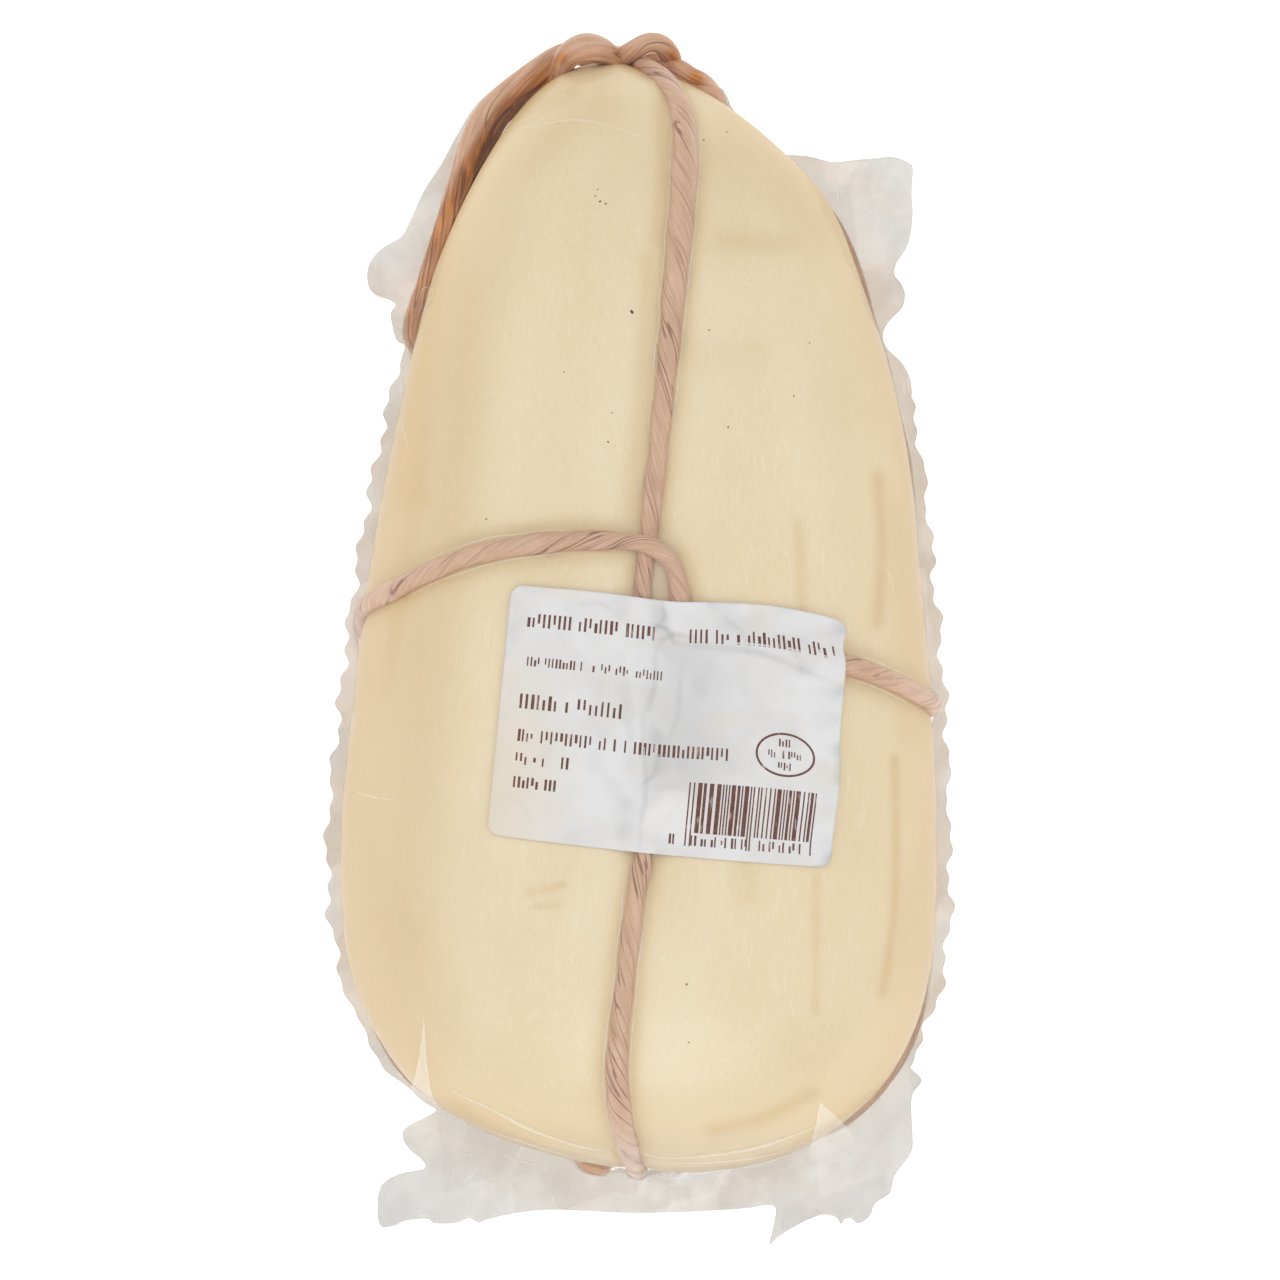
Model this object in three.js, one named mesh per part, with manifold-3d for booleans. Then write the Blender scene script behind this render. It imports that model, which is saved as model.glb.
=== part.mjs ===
// A pear-shaped stretched-curd cheese, tied with paper cord and sealed in a clear vacuum bag.
// Millimetres. It lies on its back: X runs across it, Y along it towards the neck, Z up.
// Every place below is measured from the widest outline, which lies REST_HEIGHT above the table.
import * as THREE from "three";
import { mergeVertices } from "three/addons/utils/BufferGeometryUtils.js";
import Module from "manifold-3d";

const REST_HEIGHT = 46;

// The cheese: stations run from -1 at its foot to 1 at its neck, as [station, value].
const MIDDLE_Y = 4.9;
const HALF_LENGTH = 116.5;
const GIRTH = [[-1, 107], [-0.75, 86.7], [-0.5, 73], [-0.25, 64.2], [0, 59.7], [0.5, 56.3], [1, 54]];
const SWAY = [[-1, 8], [-0.9, 3], [-0.75, 1.4], [-0.4, -0.4], [0, 0.5], [0.4, 2.1], [0.75, 0.8], [1, -5]];
const FRONT_DEPTH = 0.8;
const BACK_DEPTH = 0.78;
const SQUARENESS = 2.3;
const SPINE_ENDS = [-60, 75];
const CHEESE_SEGMENTS = { around: 52, along: 38 };

// The paper cord, and the groove that it pulls into the curd.
const CORD_RADIUS = 2.2;
const CORD_SUNK = 1.2;
const GROOVE_DEPTH = 1.6;
const GROOVE_WIDTH = 6.5;

// Two strands twisted together hang the cheese up. Packed, the loop lies round the widest outline.
const LOOP_STRAND_RADIUS = 1.9;
const LOOP_TWIST_RADIUS = 1.5;
const LOOP_SUNK = 0.9;
const TIGHT_SHARE = 0.5;
const TIGHT_TURNS = 2.25;
const SLACK_TURNS = 0.5;

// The fused surface is thinned out where that moves it less than this.
const SURFACE_TOLERANCE = 0.09;

// The bag's welded margin.
const MARGIN_THICKNESS = 1;
const MARGIN_LEVEL = -6;
const MARGIN_WIDTH = 2.2;
const MARGIN_RIPPLE = 0.6;
const MARGIN_OVERLAP = 7;

// The paper label on the bag, seen from above.
const LABEL = { x: 5.7, y: -17.4, width: 68, height: 50, turn: -5.8, corner: 2.5, thickness: 0.3 };
const LABEL_GAP = 0.35;
const LABEL_CELLS = { across: 20, down: 15 };
const LABEL_DRAPE = 2.6;

// Seen from above, where the bag's corners stand out beyond the narrow margin.
const NECK_CORNER_LEFT = [
  [-24.6, 119.9], [-32.6, 115.2], [-38.2, 107.3], [-42.6, 99.6], [-46.4, 92.2], [-49.4, 86.6],
  [-54.4, 82.6], [-57.4, 77.4], [-55.7, 72.8], [-51.6, 70], [-52.1, 65.8],
];
const FOOT_CORNERS = [
  [-47.4, -100.9], [-49.6, -104.2], [-46, -110.6], [-52.6, -113.8], [-55.5, -118.6], [-54.6, -123.6],
  [-49.6, -122.5], [-38, -122.5], [-27, -121], [0, -120.8], [26, -119.2], [28.2, -121.4], [27.4, -127.7],
  [35.6, -122], [42.5, -122.8], [48.4, -121.6], [53.2, -114.4], [57.3, -107.6], [57.5, -97],
];
const NECK_CORNER_RIGHT = [
  [56.6, 55], [52.3, 61.5], [51.4, 66.3], [54.6, 70.6], [55.2, 74.6], [53.8, 79], [56.6, 83.6],
  [57.6, 90], [57.5, 99.8], [53.6, 102], [40.6, 100.9], [30.2, 102.3], [22, 108.2],
];
const OVER_THE_NECK = [[15.8, 115.5], [10, 122], [3.2, 126.6], [-5, 125.2], [-11, 127.3], [-18, 124.6]];

// Routes of the cord, as places that it passes, pressed on to the cheese afterwards.
const FRONT_STRAND = [
  [-0.8, 121, -14], [0.6, 121.4, 2], [6, 116.5, 11], [8.5, 112, 17], [9.5, 106, 22], [9.1, 93.5, 30],
  [7.1, 71, 38], [5.8, 57, 42], [3, 32, 47], [1.2, 17, 48], [0.6, 9, 49], [0.6, -20, 52], [0.7, -43, 52],
  [-1.4, -56, 52], [-2.9, -68, 51], [-4.9, -87, 45], [-4.5, -96.5, 39], [-2.4, -106.5, 25],
  [-1.4, -110.6, 10], [-1, -111, -8],
];
const BACK_STRAND = [
  [-1.4, -110.8, 2], [0, -108, -22], [1, -96, -38], [1, -70, -46], [0, -30, -46], [0, 10, -46],
  [1, 50, -42], [0, 85, -33], [-2, 108, -22], [-0.8, 121, -8],
];
const FRONT_WAIST = [
  [-58, 1, -12], [-59.4, 4, -3], [-58.8, 6.6, 8], [-53, 10.1, 25], [-45, 14, 34], [-34, 17.8, 41],
  [-21, 19.8, 46], [-5.5, 20.3, 48], [1.8, 19.1, 50], [5.8, 15.8, 50], [7.5, 9.4, 49], [8.6, 3, 49],
  [13, -1.2, 49], [24.5, -2.4, 47], [42, -4.7, 39.5], [52, -8, 31], [57, -10.6, 22.6], [61, -13, 10],
  [62.2, -14, -3], [61, -14, -14],
];
const BACK_WAIST = [
  [61.6, -14, -6], [56, -12, -25], [40, -8, -40], [20, -5, -46], [-10, -3, -46], [-40, -2, -38],
  [-55, -1, -22], [-59, 3, -6],
];
const LOOP_OVER_NECK = [
  [20, 109.5, -9], [13.5, 116, -4], [9, 121.2, 0.5], [3.2, 123.8, 2], [-4.5, 121.8, 1], [-11, 124, 1],
  [-18.5, 121.2, 0], [-25.2, 116.4, -2], [-31, 108.4, -4], [-35.7, 99.8, -6], [-39, 91, -7],
  [-42, 83, -8], [-45.2, 73.5, -10], [-48, 64, -12],
];
const LOOP_BEHIND = [
  [-47, 67, -11.5], [-50, 58, -16], [-52, 40, -23], [-54, 15, -27], [-58, -20, -27], [-60, -50, -25],
  [-57, -74, -19], [-49, -92, -14], [-38, -101, -13], [-20, -108, -14], [-6, -111, -11], [12, -110, -14],
  [32, -106, -15], [45, -99, -14], [54, -88, -15], [60, -70, -22], [60, -30, -27], [57, 10, -26],
  [54, 45, -19], [44, 78, -14], [30, 101, -13], [17, 112, -7],
];

const wasm = await Module();
wasm.setup();

function closedSolid(geometry) {
  const bare = geometry.clone();
  bare.deleteAttribute("normal");
  bare.deleteAttribute("uv");
  const merged = mergeVertices(bare, 1e-4);
  const mesh = new wasm.Mesh({
    numProp: 3,
    vertProperties: new Float32Array(merged.attributes.position.array),
    triVerts: new Uint32Array(merged.index.array),
  });
  return new wasm.Manifold(mesh);
}

function geometryOf(solid) {
  const mesh = solid.getMesh();
  const geometry = new THREE.BufferGeometry();
  geometry.setAttribute("position", new THREE.BufferAttribute(mesh.vertProperties, mesh.numProp));
  geometry.setIndex(new THREE.BufferAttribute(mesh.triVerts, 1));
  geometry.computeVertexNormals();
  return geometry;
}

// A smooth curve through [position, value] stations, level with its neighbours' slope at each.
function along(stations, position) {
  const last = stations.length - 1;
  const at = THREE.MathUtils.clamp(position, stations[0][0], stations[last][0]);
  let i = 0;
  while (i < last - 1 && at > stations[i + 1][0]) i += 1;
  const slope = (j) => {
    const before = stations[Math.max(j - 1, 0)];
    const after = stations[Math.min(j + 1, last)];
    return (after[1] - before[1]) / (after[0] - before[0]);
  };
  const [from, to] = [stations[i], stations[i + 1]];
  const span = to[0] - from[0];
  const u = (at - from[0]) / span;
  return (
    (2 * u ** 3 - 3 * u ** 2 + 1) * from[1] +
    (u ** 3 - 2 * u ** 2 + u) * span * slope(i) +
    (3 * u ** 2 - 2 * u ** 3) * to[1] +
    (u ** 3 - u ** 2) * span * slope(i + 1)
  );
}

const station = (y) => (y - MIDDLE_Y) / HALF_LENGTH;
const depthShare = (z) => (z > 0 ? FRONT_DEPTH : BACK_DEPTH);

function halfWidth(y) {
  const s = station(y);
  return Math.sqrt(Math.max(1 - s * s, 0)) * along(GIRTH, s);
}

// Below 0 inside the cheese, 0 on its skin and above 0 outside.
function depthField(p) {
  const s = station(p.y);
  const across = Math.abs(p.x - along(SWAY, s)) ** SQUARENESS;
  const through = (Math.abs(p.z) / depthShare(p.z)) ** SQUARENESS;
  const ring = (across + through) ** (1 / SQUARENESS) / along(GIRTH, s);
  return ring * ring + s * s - 1;
}

function spinePoint(p) {
  const y = THREE.MathUtils.clamp(p.y, SPINE_ENDS[0], SPINE_ENDS[1]);
  return new THREE.Vector3(along(SWAY, station(y)), y, 0);
}

// Where the line from the spine through a place leaves the cheese, and then lift mm further out.
function onSkin(place, lift) {
  const start = spinePoint(place);
  const ray = place.clone().sub(start).normalize();
  let near = 0;
  let far = 2 * HALF_LENGTH;
  for (let i = 0; i < 40; i += 1) {
    const middle = (near + far) / 2;
    const inside = depthField(start.clone().addScaledVector(ray, middle)) < 0;
    if (inside) near = middle;
    else far = middle;
  }
  return start.addScaledVector(ray, near + lift);
}

function smoothRoute(places, step) {
  const curve = new THREE.CatmullRomCurve3(places.map((p) => new THREE.Vector3(...p)), false, "centripetal");
  return curve.getSpacedPoints(Math.round(curve.getLength() / step));
}

// A tied strand follows the skin. Where the cheese lies on it, the strand is pressed flush with the table.
function tiedRoute(places, step) {
  return smoothRoute(places, step).map((place) => {
    const point = onSkin(place, CORD_RADIUS - CORD_SUNK - GROOVE_DEPTH);
    point.z = Math.max(point.z, CORD_RADIUS - REST_HEIGHT);
    return point;
  });
}

function roundTube(route, radius, sides) {
  const section = new THREE.Shape().absarc(0, 0, radius, 0, 2 * Math.PI, false);
  const path = new THREE.CatmullRomCurve3(route, false, "centripetal");
  const settings = { steps: route.length - 1, curveSegments: sides / 2, bevelEnabled: false, extrudePath: path };
  return closedSolid(new THREE.ExtrudeGeometry(section, settings));
}

// The loop is twisted tight over the neck, and slack where it comes down beside the cheese.
function loopTwist(share) {
  const tight = Math.min(share / TIGHT_SHARE, 1) * TIGHT_TURNS;
  const slack = Math.max((share - TIGHT_SHARE) / (1 - TIGHT_SHARE), 0) * SLACK_TURNS;
  return 2 * Math.PI * (tight + slack);
}

function loopOverNeck(startAngle) {
  const route = smoothRoute(LOOP_OVER_NECK, 3.4);
  const curve = new THREE.CatmullRomCurve3(route, false, "centripetal");
  const up = new THREE.Vector3(0, 0, 1);
  const strand = route.map((_, i) => {
    const share = i / (route.length - 1);
    const outward = curve.getTangentAt(share).cross(up).normalize();
    const angle = startAngle + loopTwist(share);
    const point = curve.getPointAt(share);
    point.addScaledVector(outward, LOOP_TWIST_RADIUS * Math.cos(angle));
    return point.addScaledVector(up, LOOP_TWIST_RADIUS * Math.sin(angle));
  });
  return roundTube(strand, LOOP_STRAND_RADIUS, 8);
}

// Behind the widest outline the film holds the two strands flat on the skin, one above the other.
function loopBehind(side) {
  const route = smoothRoute(LOOP_BEHIND, 10).map((place) => {
    place.z += side * LOOP_TWIST_RADIUS;
    return onSkin(place, LOOP_STRAND_RADIUS - LOOP_SUNK);
  });
  return roundTube(route, LOOP_STRAND_RADIUS, 6);
}

const TIED_ROUTES = [FRONT_STRAND, BACK_STRAND, FRONT_WAIST, BACK_WAIST].map((places) => tiedRoute(places, 8));
const GROOVE_LINE = [FRONT_STRAND, FRONT_WAIST].flatMap((places) => tiedRoute(places, 3));

function groove(p) {
  const gap = Math.min(...GROOVE_LINE.map((q) => q.distanceTo(p)));
  return GROOVE_DEPTH * Math.exp(-((gap / GROOVE_WIDTH) ** 2));
}

function cheese() {
  const geometry = new THREE.SphereGeometry(1, CHEESE_SEGMENTS.around, CHEESE_SEGMENTS.along);
  const position = geometry.attributes.position;
  for (let i = 0; i < position.count; i += 1) {
    const ball = new THREE.Vector3().fromBufferAttribute(position, i);
    const ring = Math.hypot(ball.x, ball.z) || 1;
    const power = 2 / SQUARENESS;
    const girth = along(GIRTH, ball.y) * ring;
    const across = Math.sign(ball.x) * Math.abs(ball.x / ring) ** power;
    const through = Math.sign(ball.z) * Math.abs(ball.z / ring) ** power * depthShare(ball.z);
    const skin = new THREE.Vector3(girth * across, HALF_LENGTH * ball.y, girth * through);
    if (Math.abs(ball.y) > 1 - 1e-6) skin.set(0, HALF_LENGTH * ball.y, 0);
    skin.x += along(SWAY, ball.y);
    skin.y += MIDDLE_Y;
    const inward = spinePoint(skin).sub(skin).normalize();
    skin.addScaledVector(inward, groove(skin));
    position.setXYZ(i, skin.x, skin.y, skin.z);
  }
  return closedSolid(geometry);
}

// Along a flank the film's edge stands a crinkled few millimetres out from the cheese.
function flank(side, fromY, toY) {
  const count = Math.round(Math.abs(toY - fromY) / 5);
  return Array.from({ length: count + 1 }, (_, i) => {
    const y = THREE.MathUtils.lerp(fromY, toY, i / count);
    const ripple = MARGIN_RIPPLE * (Math.sin(0.41 * y) + 0.6 * Math.sin(1.13 * y + 2 * side));
    return [along(SWAY, station(y)) + side * (halfWidth(y) + MARGIN_WIDTH + ripple), y];
  });
}

// Beyond the cheese the film flutters and sinks a little.
function flutter(x, y) {
  const skin = onSkin(new THREE.Vector3(x, y, 0), 0);
  const spine = spinePoint(skin);
  const beyond = Math.hypot(x - spine.x, y - spine.y) - Math.hypot(skin.x - spine.x, skin.y - spine.y);
  const share = Math.max(beyond, 0) / 10;
  return share * (1.6 * Math.sin(0.31 * x + 1.9 * Math.sin(0.17 * y)) - 1.5);
}

function margin() {
  const outline = [
    ...NECK_CORNER_LEFT,
    ...flank(-1, 60, -97),
    ...FOOT_CORNERS,
    ...flank(1, -90, 50),
    ...NECK_CORNER_RIGHT,
    ...OVER_THE_NECK,
  ];
  const edge = new THREE.Shape(outline.map(([x, y]) => new THREE.Vector2(x, y)));
  const inner = Array.from({ length: 60 }, (_, i) => {
    const angle = (2 * Math.PI * i) / 60;
    const s = Math.sin(angle);
    const reach = Math.cos(angle) * along(GIRTH, s) * (1 - MARGIN_OVERLAP / 60);
    return new THREE.Vector2(along(SWAY, s) + reach, MIDDLE_Y + s * (HALF_LENGTH - MARGIN_OVERLAP));
  });
  edge.holes.push(new THREE.Path(inner));
  const geometry = new THREE.ExtrudeGeometry(edge, { depth: MARGIN_THICKNESS, bevelEnabled: false });
  const position = geometry.attributes.position;
  for (let i = 0; i < position.count; i += 1) {
    const level = position.getZ(i) - MARGIN_THICKNESS / 2 + MARGIN_LEVEL;
    position.setZ(i, level + flutter(position.getX(i), position.getY(i)));
  }
  return closedSolid(geometry);
}

function belowTable() {
  const size = 4 * HALF_LENGTH;
  const block = new THREE.BoxGeometry(size, size, size);
  block.translate(0, 0, -REST_HEIGHT - size / 2);
  return closedSolid(block);
}

// Fusing can seal small hollows beside the cords: the largest body's outer surface is the pack.
function outerBody(solid) {
  const pieces = solid.decompose();
  return pieces.reduce((best, piece) => (piece.volume() > best.volume() ? piece : best));
}

function vacuumPack() {
  const pieces = [
    ...TIED_ROUTES.map((route) => roundTube(route, CORD_RADIUS, 8)),
    ...[0, Math.PI].map(loopOverNeck),
    ...[-1, 1].map(loopBehind),
    margin(),
  ];
  const joined = pieces.reduce((whole, piece) => whole.add(piece), cheese());
  const resting = joined.subtract(belowTable()).asOriginal();
  return geometryOf(outerBody(resting.simplify(SURFACE_TOLERANCE)));
}

// The highest thing under a spot of the label, felt for all round it, as stiff paper bridges a cord.
function heightUnder(target, x, y) {
  const down = new THREE.Vector3(0, 0, -1);
  const caster = new THREE.Raycaster();
  let highest = -Infinity;
  for (let i = 0; i < 9; i += 1) {
    const reach = i === 0 ? 0 : LABEL_DRAPE;
    const from = new THREE.Vector3(x + reach * Math.cos(i), y + reach * Math.sin(i), 2 * HALF_LENGTH);
    caster.set(from, down);
    highest = Math.max(highest, caster.intersectObject(target)[0].point.z);
  }
  return highest;
}

function roundedCorner(x, y) {
  const overX = Math.abs(x) - (LABEL.width / 2 - LABEL.corner);
  const overY = Math.abs(y) - (LABEL.height / 2 - LABEL.corner);
  if (overX <= 0 || overY <= 0) return [x, y];
  const pull = Math.max(overX, overY) / Math.hypot(overX, overY) - 1;
  return [x + Math.sign(x) * overX * pull, y + Math.sign(y) * overY * pull];
}

function label(target) {
  const geometry = new THREE.BoxGeometry(
    LABEL.width, LABEL.height, LABEL.thickness, LABEL_CELLS.across, LABEL_CELLS.down, 1,
  );
  const turn = THREE.MathUtils.degToRad(LABEL.turn);
  const position = geometry.attributes.position;
  for (let i = 0; i < position.count; i += 1) {
    const [u, v] = roundedCorner(position.getX(i), position.getY(i));
    const x = LABEL.x + u * Math.cos(turn) - v * Math.sin(turn);
    const y = LABEL.y + u * Math.sin(turn) + v * Math.cos(turn);
    const face = position.getZ(i) > 0 ? LABEL.thickness : 0;
    position.setXYZ(i, x, y, heightUnder(target, x, y) + LABEL_GAP + face);
  }
  geometry.deleteAttribute("normal");
  geometry.deleteAttribute("uv");
  const sheet = mergeVertices(geometry, 1e-4);
  sheet.computeVertexNormals();
  return sheet;
}

function namedMesh(name, geometry, color, roughness) {
  const mesh = new THREE.Mesh(geometry, new THREE.MeshStandardMaterial({ color, roughness, metalness: 0 }));
  mesh.name = name;
  return mesh;
}

const pack = namedMesh("vacuum_pack", vacuumPack(), 0xe8d8b4, 0.35);
const group = new THREE.Group();
group.add(pack);
group.add(namedMesh("label", label(pack), 0xe8e6e6, 0.6));
group.position.z = REST_HEIGHT;

export default group;
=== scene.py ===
"""A pear-shaped stretched-curd cheese, tied with paper cord and sealed in a clear, labelled vacuum bag.

Lengths are in millimetres until a mesh is made, and heights are measured from the pack's widest outline.
"""

import math

import bpy
import numpy as np
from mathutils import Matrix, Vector
from mathutils.bvhtree import BVHTree
from mathutils.geometry import delaunay_2d_cdt


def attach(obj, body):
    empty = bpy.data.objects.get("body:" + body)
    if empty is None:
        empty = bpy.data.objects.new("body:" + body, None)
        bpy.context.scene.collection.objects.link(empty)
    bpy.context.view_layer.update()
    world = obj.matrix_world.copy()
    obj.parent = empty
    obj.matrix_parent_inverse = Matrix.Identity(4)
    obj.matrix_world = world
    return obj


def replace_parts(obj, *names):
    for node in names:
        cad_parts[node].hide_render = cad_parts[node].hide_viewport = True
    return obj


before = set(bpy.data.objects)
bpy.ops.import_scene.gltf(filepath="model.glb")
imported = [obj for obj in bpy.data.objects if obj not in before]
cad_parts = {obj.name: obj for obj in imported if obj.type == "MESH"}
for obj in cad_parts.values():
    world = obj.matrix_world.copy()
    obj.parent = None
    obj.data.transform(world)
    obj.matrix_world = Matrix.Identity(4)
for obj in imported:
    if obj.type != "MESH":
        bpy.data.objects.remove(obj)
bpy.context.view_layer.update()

MM = 0.001
REST_HEIGHT = 46.0
CAMERA_DISTANCE = 1800.0
FRAME_WIDTH = 268.8
# The studio, in metres from the table: its lamps, each with its size and its power in watts, the strength
# of the light all round, and half the side of the floor.
LAMPS = (
    ("key", (-1.4, 0.9, 1.9), 1.8, 10.0),
    ("fill", (1.5, -0.1, 1.8), 1.6, 6.0),
    ("foot", (0.1, -1.9, 1.5), 1.4, 9.0),
)
WORLD_LIGHT = 0.725
FLOOR_HALF = 3.0

# The cheese: stations run from -1 at its foot to 1 at its neck.
MIDDLE_Y = 4.9
HALF_LENGTH = 116.5
GIRTH = [
    (-1, 101), (-0.87, 93.4), (-0.75, 84.9), (-0.5, 72.1), (-0.25, 63.6), (0, 58.9), (0.25, 56.9),
    (0.5, 56.1), (0.65, 56.9), (0.77, 57.2), (0.9, 54.6), (1, 53),
]
SWAY = [
    (-1, 8), (-0.9, 2.8), (-0.75, 0.9), (-0.4, -0.3), (-0.2, 0.4), (0, 0.8), (0.4, 2.1),
    (0.6, 1.2), (0.75, 1.1), (0.9, -2.4), (1, -6),
]
FRONT_DEPTH = 0.8
BACK_DEPTH = 0.78
SQUARENESS = 2.3
SPINE_ENDS = (-60, 75)
CHEESE_GRID = (290, 340)

# The tied cord, by its radius at places along the pack, and the grooves that it presses.
STRAND_WIDTH = [
    (-112, 1.8), (-100, 2.2), (-80, 2.05), (-45, 1.9), (10, 1.8), (40, 1.95), (60, 2.15),
    (95, 2.5), (106, 2.45), (121, 1.9),
]
WAIST_RADIUS = 2.0
CORD_SIDES = 72
CORD_STEP = 0.9
FLOOR_GAP = 0.3
GROOVE_DEPTH = 0.8
GROOVE_WIDTH = 3.2
CREASES_ROUND = 5
CREASE_WIDTH = 0.12
CREASE_DEPTH = 0.1
FIBRE_STRETCH = 0.08
TIED_PITCH = 26.0
LOOP_PITCH = 90.0

# The hanging loop's strands, how far their middle is from the cheese, and how far apart they are behind it.
LOOP_RADIUS = 2.25
LOOP_LIFT = 0.8
LOOP_SPACING = 2.3

# The film: its gaps to what it covers and to the table, how it bridges dips, its grid, its seam, its margin
# and its webs, and where it turns milky at the foot.
FILM_GAP = 0.12
FILM_FLOOR_GAP = 0.05
FILM_BRIDGE, FILM_ROUNDS = 0.45, 14
NOTHING_UNDER = -2.0
FILM_ROWS, FRONT_COLUMNS, BACK_COLUMNS = 330, 226, 76
FILM_REACH = 18.0
SEAM_LEVEL = -6.0
FLANK_WIDTH = 3.1
SEAM_TUCK = 0.8
MARGIN_STEP = 0.62
MARGIN_HALF = 0.14
MARGIN_REACH = (68, 130)
NARROWEST_MARGIN = 0.3
FILM_HAZE, MARGIN_HAZE = 0.04, 0.41
WEB_ROWS, WEB_COLUMNS, WEB_THICKNESS = 40, 26, 0.1
FOOT_RANGE = (-98, -108)

# Routes of the cord, as places that it passes.
FRONT_STRAND = [
    (-0.8, 121, -14), (0.6, 121.4, 2), (6, 116.5, 11), (8.5, 112, 17), (9.5, 106, 22), (9.1, 93.5, 30),
    (7.1, 71, 38), (5.8, 57, 42), (3, 32, 47), (1.2, 17, 48), (0.3, 9, 49), (0.4, -20, 52), (0.7, -43, 52),
    (-1.4, -56, 52), (-2.9, -68, 51), (-4.9, -87, 45), (-4.5, -96.5, 39), (-2.4, -106.5, 25),
    (-0.9, -110.6, 10), (0, -111, -8),
]
BACK_STRAND = [
    (0, -108, -22), (1, -96, -38), (1, -70, -46), (0, -30, -46), (0, 10, -46),
    (1, 50, -42), (0, 85, -33), (-2, 108, -22),
]
FRONT_WAIST = [
    (-58, 1, -12), (-59.4, 4, -3), (-58.8, 6.6, 8), (-53, 10.1, 25), (-45, 14, 34), (-34, 17.8, 41),
    (-21, 19.8, 46), (-5.5, 20.3, 48), (2.4, 19.1, 50), (6.8, 15.8, 50), (8.4, 9.4, 49), (9.2, 3, 49),
    (13, -1.2, 49), (24.5, -2.4, 47), (42, -4.7, 39.5), (52, -8, 31), (57, -10.6, 22.6), (61, -13, 10),
    (62.2, -14, -3), (61, -14, -14),
]
BACK_WAIST = [
    (56, -12, -25), (40, -8, -40), (20, -5, -46), (-10, -3, -46), (-40, -2, -38), (-55, -1, -22),
]
HITCH = (2.4, 19.1, 47.0)
HITCH_RISE = 2.9
# The small pocket of film beside the hitch, made milky grey as painted shade of the hollow under it.
HITCH_POCKET = (4.6, 11.5, 49)
# The hanging loop's two strands are twisted over the neck and lie side by side down the left.
OUTER_STRAND = [
    (9.5, 116.4, -10), (6.7, 120.5, -4), (6.2, 122.8, 1.5), (4.6, 124.8, 3.5), (2, 125.3, 4),
    (-1.7, 123.5, 3), (-5, 121.8, 0.5), (-8.4, 121.8, -3), (-12, 123, -4.5), (-15.2, 123.4, -3),
    (-18.6, 121.6, -0.5), (-21.4, 119.4, 0.5), (-24.6, 117.2, 0.5), (-27.8, 114.9, 0), (-31, 112.2, -0.5),
    (-33.4, 108.7, -1), (-35.3, 104.2, -1.5), (-36.8, 99.6, -2), (-38.5, 94, -2.5), (-40.3, 87.7, -3),
    (-42.3, 81.5, -4), (-44.3, 75.6, -5), (-46.3, 70.4, -6.5), (-47.8, 65.1, -9),
]
INNER_STRAND = [
    (16.4, 110, -12), (14.3, 112.4, -4), (11.7, 115.7, 1), (9.2, 118.7, 2.5), (6.2, 120.5, 0),
    (2.5, 121.7, -2.5), (-2.1, 121.2, -1.5), (-5.6, 122, 2), (-8.2, 123.4, 5.5), (-11.4, 123.8, 7),
    (-14.4, 122.8, 6), (-16.6, 120.2, 2), (-19.1, 117.8, -1.5), (-23.1, 115.3, -3), (-26.9, 112.4, -4),
    (-29.8, 109.2, -4.5), (-32.1, 105.2, -5), (-34, 100.6, -5.5), (-35.9, 94.7, -6.5), (-37.8, 88, -8),
    (-39.9, 80.7, -10),
]
LOOP_BEHIND = [
    (-50, 58, -22), (-53, 40, -28), (-57, 15, -30), (-60, -20, -30), (-62, -50, -28), (-60, -70, -22),
    (-54, -86, -18), (-46, -95, -19), (-38, -101, -25), (-18, -107, -29), (-10, -113.5, -8.5),
    (-4, -109, -29), (20, -108, -27), (32, -106, -22), (42, -101, -15), (52, -91, -14.8),
    (58, -81, -15.2), (61.5, -69, -19.5), (62, -48, -25), (61, -20, -26), (60, 2, -20), (59, 16, -20),
    (57, 36, -18), (54.5, 50, -18.5), (49, 63, -16.5), (44, 79, -13.8), (39.5, 89, -15.5), (33, 98, -22),
    (26, 105, -23),
]
# Where the inner strand swells as it turns.
FAT_TURNS = ((-11.4, 123.8, 7), (11.7, 115.7, 1))
# Painted shade in the hollows between the two strands, in the cord's oily brown: across, along and radius.
LOOP_HOLLOW_SHADES = ((6.9, 122.6, 1.6), (11.8, 117.6, 1.8), (-16.6, 121.8, 1.2))

# Seen from above, the outer edge of the bag's margin where it stands out beyond the narrow flanks.
NECK_CORNER_LEFT = [
    (-25.2, 119.7), (-34, 113.4), (-38.2, 107.1), (-41.6, 100.8), (-45.6, 94.5), (-48.5, 88.2),
    (-50.2, 85.1), (-54.4, 82.5), (-56.5, 80.2), (-57.5, 77.5), (-57.1, 74.3), (-55.7, 72.7), (-52.7, 71.6),
    (-51.5, 70.6), (-52.5, 69.1), (-52.1, 65.7), (-51.2, 63), (-49.6, 62), (-50, 60.3),
]
FOOT_CORNERS = [
    (-49.8, -103.3), (-50, -105.2), (-48.7, -107.3), (-45.8, -109.8), (-45.2, -111.1), (-51.2, -112.8),
    (-54.4, -114.9), (-55.4, -118.7), (-54.6, -123.7), (-51.7, -123.5), (-49.8, -122.6), (-44.5, -122.2),
    (-43.7, -122.9), (-38.6, -122.9), (-35.9, -122), (-34, -122.9), (-32.6, -122.4), (-26.9, -121),
    (-18.3, -120.1), (0, -120.8), (22.9, -119.7), (26.5, -119.1), (28.4, -119.5), (28.1, -123.9),
    (27.3, -127.7), (29, -126), (35.7, -122.2), (39.1, -121.2), (41.6, -122), (42.4, -123.3),
    (43.1, -122.2), (44.5, -122), (46, -123.1), (48.5, -121.4), (49.6, -118.9), (52.7, -116.6),
    (53.6, -113.2), (57.3, -107.7), (57.5, -104.4), (57.3, -100.6), (57.5, -95.8), (59.4, -92.8),
]
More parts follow.
